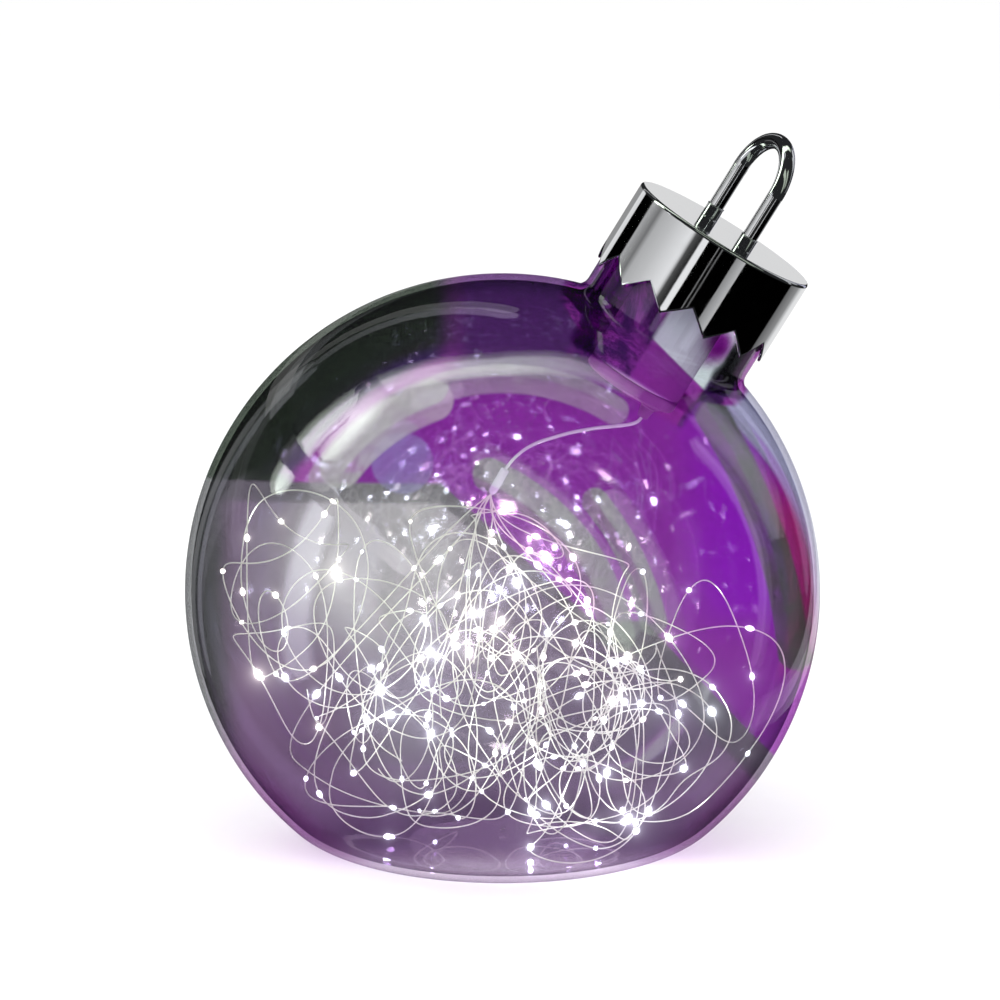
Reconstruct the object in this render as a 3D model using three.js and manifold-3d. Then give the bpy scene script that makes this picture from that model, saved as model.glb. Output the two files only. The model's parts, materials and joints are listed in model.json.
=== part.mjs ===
// A battery lamp in the shape of a large tree ornament, in millimetres, +Z up.
// A blown glass ball stands tilted on a flattened foot. Its neck carries a chrome crown with a
// toothed skirt and a hanging loop. The crown pulls off along the neck to show a battery housing,
// which hangs in the neck and feeds a nest of LED wires that lies in the ball.
// The origin is on the surface that the lamp stands on, straight under the ball's centre.
import * as THREE from 'three';
import { mergeVertices } from 'three/addons/utils/BufferGeometryUtils.js';
import Module from 'manifold-3d';

const wasm = await Module();
wasm.setup();

// The glass ball. Heights called "along the neck" are distances from the ball's centre.
const TILT = THREE.MathUtils.degToRad(31.3);
const BALL_RADIUS = 125;
const BALL_CENTRE_HEIGHT = 103;
const FOOT_BLEND = 15;
const GLASS = 2.5;
const NECK_RADIUS = 36.2;
const NECK_FILLET = 6;
const NECK_RIM = 151;
const NECK_ROOT = 105;

// The crown and its loop.
const CROWN_TOP = 167;
const CROWN_RADIUS = 38;
const CROWN_WALL = 1.2;
const CROWN_ROOF = 1.5;
const CROWN_HEIGHT = 35.2;
const CROWN_EDGE = 1;
const TOOTH_COUNT = 12;
const TOOTH_DEPTH = 8.3;
const LOOP_ROD = 6.3;
const LOOP_WIDTH = 34;
const LOOP_RISE = 41;
const LOOP_TURN = THREE.MathUtils.degToRad(-66);
const NUT_HEIGHT = 4.7;
const NUT_FLATS = 10;
const WASHER_HEIGHT = 1;
const COLLAR_HEIGHT = 5.5;
const COLLAR_WALL = 0.5;
const WASHER_WALL = 2.7;

// The battery housing, with three AA cells side by side.
const HOUSING_RADIUS = 19.5;
const HOUSING_TOP = 158.4;
const HOUSING_BOTTOM = 95.5;
const BASE_TOP = 100.7;
const RECESS_RADIUS = 17.6;
const RECESS_FLOOR = 154.3;
const FLANGE_RADIUS = 34.6;
const FLANGE_HEIGHT = 2;
const CELL_RADIUS = 7.25;
const CELL_LENGTH = 50.5;
const CELL_NUB_RADIUS = 2.7;
const CELL_NUB_HEIGHT = 1.2;
const CELL_CHAMFER = 0.4;
const CELL_CLEARANCE = 0.4;
const CELL_RING = 9;
const CELL_ANGLES = [255, 15, 135].map(THREE.MathUtils.degToRad);
const SCREW_ANGLES = [75, 195].map(THREE.MathUtils.degToRad);
const WIRE_ANGLE = THREE.MathUtils.degToRad(315);
const SCREW_RING = 14.5;
const WIRE_RING = 14.6;
const LEAD_RING = 13;
const SPRING_HEIGHT = 5;
const SPRING_WIRE = 0.7;
const SPRING_TURNS = 3;
const SPRING_LOW_RADIUS = 4.2;
const SPRING_HIGH_RADIUS = 3;
const PLATE = 0.5;
const PLATE_RADIUS = 5.5;
const TAB_HALF_WIDTH = 0.9;
const BASE_FLOOR = 1.8;
const BOARD = 1.2;
const LID = 1.4;
const GASKET_INNER = 32.5;
const GASKET_OUTER = 36;
const GASKET_HEIGHT = 1.5;
const GRIP_OUTER = 36.4;
const GRIP_INSET = 0.2;
const WIRE_DIAMETER = 1.1;
const WIRE_PITCH = 2;
const CHANNEL_DEPTH = 2.6;
const CHANNEL_WIDTH = 6.4;

// The lid's screws. The head is flat below and rounded above.
const SCREW_RADIUS = 1;
const SCREW_HOLE = 1.3;
const SCREW_HOLE_BOTTOM = 146;
const SCREW_END = 148;
const LID_HOLE = 1.4;
const HEAD_RADIUS = 2.3;
const HEAD_SIDE = 0.7;
const HEAD_TOP_RADIUS = 1.5;
const HEAD_HEIGHT = 1.3;
const SLOT_WIDTH = 0.6;
const SLOT_LENGTH = 3;

// The timer switch on the board, and its sliding knob.
const SWITCH_WIDTH = 4.2;
const SWITCH_LENGTH = 8.4;
const SWITCH_HEIGHT = 3.2;
const SWITCH_SLOT_MARGIN = 0.5;
const POCKET_WIDTH = 2.2;
const POCKET_LENGTH = 6.8;
const POCKET_DEPTH = 1.6;
const KNOB_WIDTH = 1.6;
const KNOB_LENGTH = 2.4;
const KNOB_STANDS = 2;

// The clear lead and the nest of LED wires.
const LEAD_DIAMETER = 2.2;
const LEAD_CLEARANCE = 0.35;
const SPLICE_DIAMETER = 3.6;
const GROMMET_FLANGE = 4.2;
const GROMMET_NECK = 2.9;
const GROMMET_TIP = 2.1;
const GROMMET_LENGTH = 5.7;
const NEST_MARGIN = 2;
const NEST_WALL = 1.2;
const NEST_RIM_HEIGHT = 26;
const NEST_TOP_HEIGHT = 37.5;
const NEST_MOUTH = 12;
const NEST_DOME_SHARES = [0.7, 0.35];

// The gap that touching pieces keep, and how far a cutting tool runs past what it cuts.
const GAP = 0.3;
const PAST = 1;

// How many flat sides stand for each round.
const BALL_ROUND = 36;
const NEST_ROUND = 24;
const ROUND = 48;
const HOUSING_ROUND = 32;
const SMALL_ROUND = 16;
const TINY_ROUND = 12;

const FINISHES = {
  glass: { color: 0x6f2a96, roughness: 0.05, metalness: 0.3, transparent: true, opacity: 0.35 },
  chrome: { color: 0xd4d6d8, roughness: 0.08, metalness: 1 },
  steel: { color: 0xa9abad, roughness: 0.35, metalness: 1 },
  clearPlastic: { color: 0xcfc8e0, roughness: 0.25, metalness: 0 },
  blackPlastic: { color: 0x1a1a1c, roughness: 0.5, metalness: 0 },
  silicone: { color: 0xd8d8d4, roughness: 0.6, metalness: 0 },
  cellWrap: { color: 0x4a4f56, roughness: 0.35, metalness: 0.4 },
  board: { color: 0x1f5a38, roughness: 0.6, metalness: 0 },
  redWire: { color: 0xa02020, roughness: 0.4, metalness: 0 },
  blackWire: { color: 0x202020, roughness: 0.4, metalness: 0 },
  clearWire: { color: 0xcfd2dc, roughness: 0.2, metalness: 0 },
  ledWire: { color: 0xe2e4e8, roughness: 0.3, metalness: 0.6 },
};

// Turns the faces outwards if the solid came out inside out.
function outward(geometry) {
  const solid = geometry.index ? geometry.toNonIndexed() : geometry;
  const place = solid.attributes.position;
  const [a, b, c] = [new THREE.Vector3(), new THREE.Vector3(), new THREE.Vector3()];
  let volume = 0;
  for (let i = 0; i < place.count; i += 3) {
    a.fromBufferAttribute(place, i);
    b.fromBufferAttribute(place, i + 1);
    c.fromBufferAttribute(place, i + 2);
    volume += a.dot(b.cross(c));
  }
  if (volume >= 0) return geometry;
  for (let i = 0; i < place.count; i += 3) {
    a.fromBufferAttribute(place, i);
    b.fromBufferAttribute(place, i + 2);
    place.setXYZ(i, b.x, b.y, b.z);
    place.setXYZ(i + 2, a.x, a.y, a.z);
  }
  return solid;
}

// A solid of revolution about Z. Each point is [radius, height].
function turned(points, segments = ROUND) {
  const profile = points.map(([radius, height]) => new THREE.Vector2(radius, height));
  const geometry = new THREE.LatheGeometry(profile, segments);
  geometry.rotateX(Math.PI / 2);
  return outward(geometry);
}

// A ring with a rectangular section.
function ring(inner, outer, bottom, top, segments = ROUND) {
  const corners = [[inner, bottom], [outer, bottom], [outer, top], [inner, top], [inner, bottom]];
  return turned(corners, segments);
}

function disc(radius, bottom, top, segments = ROUND) {
  return turned([[0, bottom], [radius, bottom], [radius, top], [0, top]], segments);
}

function box(width, depth, bottom, top) {
  const geometry = new THREE.BoxGeometry(width, depth, top - bottom);
  return geometry.translate(0, 0, (top + bottom) / 2);
}

// A flat outline made solid from bottom to top.
function plate(shape, bottom, top, curveSegments = SMALL_ROUND) {
  const geometry = new THREE.ExtrudeGeometry(shape, {
    depth: top - bottom, bevelEnabled: false, curveSegments,
  });
  return outward(geometry.translate(0, 0, bottom));
}

function tube(curve, diameter, sides, steps) {
  const section = new THREE.Shape();
  section.absarc(0, 0, diameter / 2, 0, 2 * Math.PI);
  const outline = new THREE.Shape(section.getPoints(sides).slice(0, sides));
  const geometry = new THREE.ExtrudeGeometry(outline, {
    steps, bevelEnabled: false, extrudePath: curve,
  });
  return outward(geometry);
}

function solidOf(geometry) {
  const bare = new THREE.BufferGeometry();
  bare.setAttribute('position', geometry.attributes.position.clone());
  if (geometry.index) bare.setIndex(geometry.index.clone());
  const merged = mergeVertices(bare);
  const corners = merged.index.array;
  const kept = [];
  for (let i = 0; i < corners.length; i += 3) {
    const [p, q, r] = [corners[i], corners[i + 1], corners[i + 2]];
    if (p !== q && q !== r && r !== p) kept.push(p, q, r);
  }
  return new wasm.Manifold(new wasm.Mesh({
    numProp: 3,
    vertProperties: new Float32Array(merged.attributes.position.array),
    triVerts: new Uint32Array(kept),
  }));
}

function geometryOf(solid) {
  const mesh = solid.getMesh();
  const geometry = new THREE.BufferGeometry();
  geometry.setAttribute('position', new THREE.BufferAttribute(mesh.vertProperties, 3));
  geometry.setIndex(new THREE.BufferAttribute(mesh.triVerts, 1));
  return geometry;
}

function joined(...geometries) {
  return geometryOf(geometries.map(solidOf).reduce((whole, piece) => whole.add(piece)));
}

function cut(geometry, ...tools) {
  return geometryOf(tools.reduce((left, tool) => left.subtract(solidOf(tool)), solidOf(geometry)));
}

function place(parent, name, geometry, finish, x = 0, y = 0, z = 0) {
  const mesh = new THREE.Mesh(geometry, new THREE.MeshStandardMaterial(FINISHES[finish]));
  mesh.name = name;
  mesh.position.set(x, y, z);
  parent.add(mesh);
  return mesh;
}

function polar(ringRadius, angle) {
  return [ringRadius * Math.cos(angle), ringRadius * Math.sin(angle)];
}

// The distance from the ball's centre to its surface, at an angle from straight down: the smaller
// of the sphere and the flat foot, rounded where they meet.
function ballReach(angle, inset) {
  const sphere = BALL_RADIUS - inset;
  const foot = (BALL_CENTRE_HEIGHT - inset) / Math.max(Math.cos(angle), 1e-6);
  const share = THREE.MathUtils.clamp(0.5 + (foot - sphere) / (2 * FOOT_BLEND), 0, 1);
  return foot + (sphere - foot) * share - FOOT_BLEND * share * (1 - share);
}

// The ball's outline from the middle of the flat foot round to an angle, as [radius, height].
function ballOutline(inset, lastAngle, steps) {
  const flat = Math.acos((BALL_CENTRE_HEIGHT - inset) / (BALL_RADIUS - inset - FOOT_BLEND));
  const round = Array.from({ length: steps + 1 }, (_, i) => {
    const angle = flat + ((lastAngle - flat) * i) / steps;
    const reach = ballReach(angle, inset);
    return [reach * Math.sin(angle), -reach * Math.cos(angle)];
  });
  return [[0, inset - BALL_CENTRE_HEIGHT], ...round];
}

// The neck as a solid about Z, with a hollow's rounded flare where it leaves the ball.
function neckSolid(inset, bottom, top) {
  const centreRadius = NECK_RADIUS + NECK_FILLET;
  const centreHeight = Math.sqrt((BALL_RADIUS + NECK_FILLET) ** 2 - centreRadius ** 2);
  const fillet = NECK_FILLET + inset;
  const first = Math.atan2(-centreHeight, -centreRadius);
  const steps = 4;
  const flare = Array.from({ length: steps + 1 }, (_, i) => {
    const angle = first + ((-Math.PI - first) * i) / steps;
    return [centreRadius + fillet * Math.cos(angle), centreHeight + fillet * Math.sin(angle)];
  });
  return turned([[0, bottom], ...flare, [NECK_RADIUS - inset, top], [0, top]]);
}

function glassGlobe() {
  const ball = (inset) => {
    const outline = ballOutline(inset, Math.PI, 16);
    outline[outline.length - 1][0] = 0;
    return turned(outline, BALL_ROUND);
  };
  const outside = joined(ball(0), neckSolid(0, NECK_ROOT, NECK_RIM).rotateY(TILT));
  const inside = neckSolid(GLASS, NECK_ROOT - 2 * GLASS, NECK_RIM + PAST).rotateY(TILT);
  return cut(outside, ball(GLASS), inside);
}

// A wedge that cuts one valley into the skirt, pointing up along Z, out along X.
function valleyWedge() {
  const slope = (CROWN_RADIUS * Math.sin(Math.PI / TOOTH_COUNT)) / TOOTH_DEPTH;
  const wide = (TOOTH_DEPTH + PAST) * slope;
  const through = CROWN_WALL + 2 * PAST;
  const outline = new THREE.Shape([
    new THREE.Vector2(0, 0),
    new THREE.Vector2(-wide, -TOOTH_DEPTH - PAST),
    new THREE.Vector2(wide, -TOOTH_DEPTH - PAST),
  ]);
  const geometry = plate(outline, 0, through);
  geometry.rotateX(Math.PI / 2);
  geometry.rotateZ(Math.PI / 2);
  const inside = CROWN_RADIUS - CROWN_WALL - PAST;
  return geometry.translate(inside, 0, CROWN_TOP - CROWN_HEIGHT + TOOTH_DEPTH);
}

function legPlaces() {
  return [0, Math.PI].map((half) => polar(LOOP_WIDTH / 2, LOOP_TURN + half));
}

function crownCap() {
  const [bottom, inner] = [CROWN_TOP - CROWN_HEIGHT, CROWN_RADIUS - CROWN_WALL];
  const corner = CROWN_EDGE * (1 - Math.SQRT1_2);
  const shell = turned([
    [0, CROWN_TOP], [CROWN_RADIUS - CROWN_EDGE, CROWN_TOP],
    [CROWN_RADIUS - corner, CROWN_TOP - corner], [CROWN_RADIUS, CROWN_TOP - CROWN_EDGE],
    [CROWN_RADIUS, bottom], [inner, bottom], [inner, CROWN_TOP - CROWN_ROOF], [0, CROWN_TOP - CROWN_ROOF],
  ]);
  const valleys = Array.from({ length: TOOTH_COUNT }, (_, i) => (
    valleyWedge().rotateZ(-Math.PI / 2 + (2 * Math.PI * i) / TOOTH_COUNT)
  ));
  const holes = legPlaces().map(([x, y]) => (
    disc(LOOP_ROD / 2 + GAP, CROWN_TOP - CROWN_ROOF - PAST, CROWN_TOP + PAST, SMALL_ROUND).translate(x, y, 0)
  ));
  return cut(shell, ...valleys, ...holes);
}

// The loop's middle line: up one leg, round the arch and down the other leg.
class LoopLine extends THREE.Curve {
  constructor(foot) {
    super();
    this.foot = foot;
    this.straight = CROWN_TOP + LOOP_RISE - LOOP_WIDTH / 2 - foot;
    this.length = 2 * this.straight + (Math.PI * LOOP_WIDTH) / 2;
  }

  getPoint(share, target = new THREE.Vector3()) {
    const along = share * this.length;
    const arch = LOOP_WIDTH / 2;
    const angle = THREE.MathUtils.clamp((along - this.straight) / arch, 0, Math.PI);
    const leg = Math.min(along, this.straight, this.length - along);
    const [across, up] = [arch * Math.cos(angle), arch * Math.sin(angle)];
    return target.set(
      across * Math.cos(LOOP_TURN), across * Math.sin(LOOP_TURN), this.foot + leg + up,
    );
  }
}

function addLoop(crown) {
  const underside = CROWN_TOP - CROWN_ROOF;
  const washerTop = underside - GAP;
  const nutTop = washerTop - WASHER_HEIGHT - GAP;
  const hole = LOOP_ROD / 2 + GAP;
  place(crown, 'hanging_loop', tube(new LoopLine(nutTop - NUT_HEIGHT - GAP), LOOP_ROD, 10, 28), 'chrome');
  const hexagon = new THREE.Shape(Array.from({ length: 6 }, (_, i) => (
    new THREE.Vector2(...polar(NUT_FLATS / Math.sqrt(3), (Math.PI * i) / 3))
  )));
  const nutHole = disc(hole, nutTop - NUT_HEIGHT - PAST, nutTop + PAST, SMALL_ROUND);
  const collarTop = CROWN_TOP + GAP + COLLAR_HEIGHT;
  legPlaces().forEach(([x, y], i) => {
    const collar = ring(hole, hole + COLLAR_WALL, CROWN_TOP + GAP, collarTop, SMALL_ROUND);
    const washer = ring(hole, hole + WASHER_WALL, washerTop - WASHER_HEIGHT, washerTop, SMALL_ROUND);
    const nut = cut(plate(hexagon, nutTop - NUT_HEIGHT, nutTop), nutHole);
    place(crown, `loop_collar_${i + 1}`, collar, 'chrome', x, y);
    place(crown, `loop_washer_${i + 1}`, washer, 'steel', x, y);
    place(crown, `loop_nut_${i + 1}`, nut, 'steel', x, y);
  });
}

function batteryHousing(flangeBottom) {
  const body = turned([
    [0, BASE_TOP + GAP], [HOUSING_RADIUS, BASE_TOP + GAP], [HOUSING_RADIUS, flangeBottom],
    [FLANGE_RADIUS, flangeBottom], [FLANGE_RADIUS, flangeBottom + FLANGE_HEIGHT],
    [HOUSING_RADIUS, flangeBottom + FLANGE_HEIGHT], [HOUSING_RADIUS, HOUSING_TOP], [0, HOUSING_TOP],
  ], HOUSING_ROUND);
  const [low, high] = [BASE_TOP - PAST, RECESS_FLOOR + PAST];
  const recess = disc(RECESS_RADIUS, RECESS_FLOOR, HOUSING_TOP + PAST, HOUSING_ROUND);
  const bores = CELL_ANGLES.map((angle) => (
    disc(CELL_RADIUS + CELL_CLEARANCE, low, high, SMALL_ROUND).translate(...polar(CELL_RING, angle), 0)
  ));
  const screwHoles = SCREW_ANGLES.map((angle) => (
    disc(SCREW_HOLE, SCREW_HOLE_BOTTOM, high, TINY_ROUND).translate(...polar(SCREW_RING, angle), 0)
  ));
  const channel = box(CHANNEL_DEPTH, CHANNEL_WIDTH, low, high);
  channel.rotateZ(WIRE_ANGLE).translate(...polar(WIRE_RING, WIRE_ANGLE), 0);
  return cut(body, recess, ...bores, ...screwHoles, channel);
}

function housingBase() {
  const [inside, chamfer] = [HOUSING_BOTTOM + BASE_FLOOR, 1];
  const cup = turned([
    [0, HOUSING_BOTTOM], [HOUSING_RADIUS - chamfer, HOUSING_BOTTOM],
    [HOUSING_RADIUS, HOUSING_BOTTOM + chamfer], [HOUSING_RADIUS, BASE_TOP],
    [RECESS_RADIUS, BASE_TOP], [RECESS_RADIUS, inside], [0, inside],
  ], HOUSING_ROUND);
  const hole = disc(LEAD_DIAMETER / 2 + LEAD_CLEARANCE, HOUSING_BOTTOM - PAST, inside + PAST, SMALL_ROUND);
  return cut(cup, hole.translate(...polar(LEAD_RING, WIRE_ANGLE), 0));
}

// A round sheet that drops into the housing's recess, with the two screws' holes.
function recessDisc(bottom, top) {
  const holes = SCREW_ANGLES.map((angle) => (
    disc(LID_HOLE, bottom - PAST, top + PAST, TINY_ROUND).translate(...polar(SCREW_RING, angle), 0)
  ));
  return cut(disc(RECESS_RADIUS - 2 * GAP, bottom, top, NEST_ROUND), ...holes);
}

function housingLid(bottom) {
  const [width, length] = [SWITCH_WIDTH, SWITCH_LENGTH].map((side) => side + 2 * SWITCH_SLOT_MARGIN);
  return cut(recessDisc(bottom, bottom + LID), box(width, length, bottom - PAST, bottom + LID + PAST));
}

function lidScrew(headBottom) {
  const [side, top] = [headBottom + HEAD_SIDE, headBottom + HEAD_HEIGHT];
  const screw = turned([
    [0, SCREW_END], [SCREW_RADIUS / 2, SCREW_END], [SCREW_RADIUS, SCREW_END + SCREW_RADIUS],
    [SCREW_RADIUS, headBottom], [HEAD_RADIUS, headBottom], [HEAD_RADIUS, side],
    [HEAD_TOP_RADIUS, top], [0, top],
  ], TINY_ROUND);
  const slots = [[SLOT_LENGTH, SLOT_WIDTH], [SLOT_WIDTH, SLOT_LENGTH]];
  return cut(screw, ...slots.map(([width, depth]) => box(width, depth, side, top + PAST)));
}

// One AA cell standing on its flat end, or on its nub when upside down.
function cell(bottom, upsideDown) {
  const shoulder = CELL_LENGTH - CELL_NUB_HEIGHT;
  const outline = [
    [0, 0], [CELL_RADIUS - CELL_CHAMFER, 0], [CELL_RADIUS, CELL_CHAMFER],
    [CELL_RADIUS, shoulder - CELL_CHAMFER], [CELL_RADIUS - CELL_CHAMFER, shoulder],
    [CELL_NUB_RADIUS, shoulder], [CELL_NUB_RADIUS, CELL_LENGTH],
    [0, CELL_LENGTH],
  ];
  const placed = outline.map(([radius, height]) => (
    [radius, bottom + (upsideDown ? CELL_LENGTH - height : height)]
  ));
  return turned(placed, SMALL_ROUND);
}

class SpringLine extends THREE.Curve {
  constructor(bottom) {
    super();
    this.bottom = bottom;
  }

  getPoint(share, target = new THREE.Vector3()) {
    const angle = SPRING_TURNS * 2 * Math.PI * share;
    const radius = THREE.MathUtils.lerp(SPRING_LOW_RADIUS, SPRING_HIGH_RADIUS, share);
    const rise = SPRING_WIRE / 2 + (SPRING_HEIGHT - SPRING_WIRE) * share;
    return target.set(radius * Math.cos(angle), radius * Math.sin(angle), this.bottom + rise);
  }
}

// A strip of contact sheet with round ends, from one place to another.
function strip([x0, y0], [x1, y1], halfWidth, bottom) {
  const along = Math.atan2(y1 - y0, x1 - x0);
  const outline = new THREE.Shape();
  outline.absarc(x1, y1, halfWidth, along - Math.PI / 2, along + Math.PI / 2);
  outline.absarc(x0, y0, halfWidth, along + Math.PI / 2, along + 1.5 * Math.PI);
  return plate(outline, bottom, bottom + PLATE, SMALL_ROUND / 2);
}

function wirePlace(along, sideways) {
  const [x, y] = polar(along, WIRE_ANGLE);
  return [x - sideways * Math.sin(WIRE_ANGLE), y + sideways * Math.cos(WIRE_ANGLE)];
}

function wire(route) {
  const points = route.map(([along, sideways, height]) => (
    new THREE.Vector3(...wirePlace(along, sideways), height)
  ));
  return tube(new THREE.CatmullRomCurve3(points, false, 'centripetal'), WIRE_DIAMETER, 6, 12);
}

function addCells(neck, plateTop, topPlateBottom) {
  const places = CELL_ANGLES.map((angle) => polar(CELL_RING, angle));
  const low = plateTop + GAP;
  const high = topPlateBottom - GAP;
  places.forEach(([x, y], i) => {
    const upsideDown = i === 1;
    const bottom = upsideDown ? low : low + SPRING_HEIGHT + GAP;
    const springBottom = upsideDown ? high - SPRING_HEIGHT : low;
    const spring = tube(new SpringLine(springBottom), SPRING_WIRE, 4, 24);
    place(neck, `cell_${i + 1}`, cell(bottom, upsideDown), 'cellWrap', x, y);
    place(neck, `contact_spring_${i + 1}`, spring, 'steel', x, y);
  });
  const plateBottom = plateTop - PLATE;
  const roundPlate = ([x, y], bottom) => (
    disc(PLATE_RADIUS, bottom, bottom + PLATE, SMALL_ROUND).translate(x, y, 0)
  );
  const tab = strip(places[0], wirePlace(WIRE_RING, -WIRE_PITCH), TAB_HALF_WIDTH, plateBottom);
  place(neck, 'base_plate_single', joined(roundPlate(places[0], plateBottom), tab), 'steel');
  place(neck, 'base_plate_link', strip(places[1], places[2], PLATE_RADIUS, plateBottom), 'steel');
  place(neck, 'top_plate_link', strip(places[0], places[1], PLATE_RADIUS, topPlateBottom), 'steel');
  place(neck, 'top_plate_single', roundPlate(places[2], topPlateBottom), 'steel');
}

// The wires run up the housing's channel. Each place on a route is how far out from the neck's axis,
// how far sideways, and how high.
function addWires(neck, boardBottom, plateTop, leadTop) {
  const top = boardBottom - GAP;
  const middle = (plateTop + top) / 2;
  const routes = {
    battery_wire: [
      [WIRE_RING, -WIRE_PITCH, plateTop + GAP], [WIRE_RING, -WIRE_PITCH, middle],
      [WIRE_RING, -WIRE_PITCH, top],
    ],
    supply_wire_red: [
      [LEAD_RING, -0.7, leadTop + GAP], [WIRE_RING - 0.5, -0.3, 102], [WIRE_RING, 0, 106],
      [WIRE_RING, 0, middle], [WIRE_RING, 0, top],
    ],
    supply_wire_black: [
      [LEAD_RING, 0.7, leadTop + GAP], [WIRE_RING - 0.5, 1.4, 102], [WIRE_RING, WIRE_PITCH, 106],
      [WIRE_RING, WIRE_PITCH, middle], [WIRE_RING, WIRE_PITCH, top],
    ],
  };
  Object.entries(routes).forEach(([name, route]) => {
    place(neck, name, wire(route), name.endsWith('red') ? 'redWire' : 'blackWire');
  });
}

function addSwitch(neck, boardTop) {
  const bodyTop = boardTop + GAP + SWITCH_HEIGHT;
  const pocket = box(POCKET_WIDTH, POCKET_LENGTH, bodyTop - POCKET_DEPTH, bodyTop + PAST);
  const body = cut(box(SWITCH_WIDTH, SWITCH_LENGTH, boardTop + GAP, bodyTop), pocket);
  const knob = box(KNOB_WIDTH, KNOB_LENGTH, bodyTop - POCKET_DEPTH + GAP, bodyTop + KNOB_STANDS);
  place(neck, 'switch_body', body, 'blackPlastic');
  place(neck, 'switch_knob', knob, 'clearPlastic');
}

function addHousing(neck) {
  const gasketTop = NECK_RIM + GAP + GASKET_HEIGHT;
  const flangeBottom = gasketTop + GAP;
  const plateTop = HOUSING_BOTTOM + BASE_FLOOR + GAP + PLATE;
  const topPlateBottom = plateTop + GAP + SPRING_HEIGHT + GAP + CELL_LENGTH + GAP;
  const boardBottom = topPlateBottom + PLATE + GAP;
  const lidBottom = boardBottom + BOARD + GAP;
  const [gripBottom, gripTop] = [flangeBottom + GRIP_INSET, flangeBottom + FLANGE_HEIGHT - GRIP_INSET];
  const grip = ring(FLANGE_RADIUS + GAP, GRIP_OUTER, gripBottom, gripTop, HOUSING_ROUND);
  const gasket = ring(GASKET_INNER, GASKET_OUTER, NECK_RIM + GAP, gasketTop, HOUSING_ROUND);
  place(neck, 'neck_gasket', gasket, 'silicone');
  place(neck, 'grip_ring', grip, 'silicone');
  place(neck, 'battery_housing', batteryHousing(flangeBottom), 'clearPlastic');
  place(neck, 'housing_base', housingBase(), 'clearPlastic');
  place(neck, 'timer_board', recessDisc(boardBottom, boardBottom + BOARD), 'board');
  place(neck, 'housing_lid', housingLid(lidBottom), 'clearPlastic');
  SCREW_ANGLES.forEach((angle, i) => {
    place(neck, `lid_screw_${i + 1}`, lidScrew(lidBottom + LID + GAP), 'steel', ...polar(SCREW_RING, angle));
  });
  addCells(neck, plateTop, topPlateBottom);
  addWires(neck, boardBottom, plateTop, plateTop + GAP);
  addSwitch(neck, boardBottom + BOARD);
}

// The tapered grommet where the lead leaves the housing.
function addGrommet(neck) {
  const [top, hole] = [HOUSING_BOTTOM - GAP, LEAD_DIAMETER / 2 + LEAD_CLEARANCE];
  const shoulder = GROMMET_FLANGE - GROMMET_NECK;
  const bottom = top - GROMMET_LENGTH;
  const outline = [
    [hole, top], [GROMMET_FLANGE, top], [GROMMET_FLANGE, top - shoulder / 2], [GROMMET_NECK, top - shoulder],
    [GROMMET_TIP, bottom], [hole, bottom], [hole, top],
  ];
  place(neck, 'lead_grommet', turned(outline, SMALL_ROUND), 'clearPlastic', ...polar(LEAD_RING, WIRE_ANGLE));
}

// The lead's route in the ball, from inside the housing to the splice.
const LEAD_ROUTE = [
  [58.9, -9.2, 182.1], [57.3, -9.2, 179.5], [55.7, -9.2, 176.9], [54.3, -9.2, 174.6], [53.1, -9.2, 173.1],
  [51.2, -9.2, 172.1], [48.3, -9.2, 171.5], [44.6, -9.1, 171], [38, -8.8, 170.3], [32, -8.5, 169.3],
  [26.7, -8.2, 168.2], [20, -7.7, 166.2], [14.5, -7.2, 164.3], [10.3, -6.8, 162.2], [6.5, -6.4, 159.4],
  [3.6, -6, 156.4], [1.4, -5.7, 153.4],
];
const SPLICE_ENDS = [[1.2, -5.65, 153.1], [-4.6, -5, 142.8]];

function addLead(lamp) {
  const points = LEAD_ROUTE.map((point) => new THREE.Vector3(...point));
  const lead = tube(new THREE.CatmullRomCurve3(points, false, 'centripetal'), LEAD_DIAMETER, 8, 28);
  place(lamp, 'lead_cable', lead, 'clearWire');
  const [start, end] = SPLICE_ENDS.map((point) => new THREE.Vector3(...point));
  const length = start.distanceTo(end);
  const radius = SPLICE_DIAMETER / 2;
  const chamfer = radius / 2;
  const outline = [
    [0, 0], [radius - chamfer, 0], [radius, chamfer], [radius, length - chamfer],
    [radius - chamfer, length], [0, length],
  ];
  const splice = place(lamp, 'strand_splice', turned(outline, SMALL_ROUND), 'clearWire');
  splice.position.copy(start);
  splice.quaternion.setFromUnitVectors(new THREE.Vector3(0, 0, 1), end.sub(start).normalize());
}

// The nest's outline: against the glass up to its rim, then over its low dome to a mouth in the middle.
function nestOutline(inset) {
  const reach = BALL_RADIUS - GLASS - NEST_MARGIN - inset;
  const rimAngle = Math.PI - Math.acos((NEST_RIM_HEIGHT - inset) / reach);
  const wall = ballOutline(GLASS + NEST_MARGIN + inset, rimAngle, 9);
  const rimRadius = wall[wall.length - 1][0];
  const drop = NEST_TOP_HEIGHT - NEST_RIM_HEIGHT;
  const dome = NEST_DOME_SHARES.map((share) => rimRadius * share).concat(NEST_MOUTH);
  return wall.concat(dome.map((radius) => (
    [radius, NEST_TOP_HEIGHT - inset - drop * (radius / rimRadius) ** 2]
  )));
}

function ledNest() {
  return turned([...nestOutline(0), ...nestOutline(NEST_WALL).reverse()], NEST_ROUND);
}

const lamp = new THREE.Group();
const ball = new THREE.Group();
ball.position.z = BALL_CENTRE_HEIGHT;
lamp.add(ball);
place(ball, 'glass_globe', glassGlobe(), 'glass');
place(ball, 'led_nest', ledNest(), 'ledWire');
addLead(lamp);

const neck = new THREE.Group();
neck.rotation.y = TILT;
ball.add(neck);
addHousing(neck);
addGrommet(neck);

const crown = new THREE.Group();
neck.add(crown);
place(crown, 'crown_cap', crownCap(), 'chrome');
addLoop(crown);

export default lamp;
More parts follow.
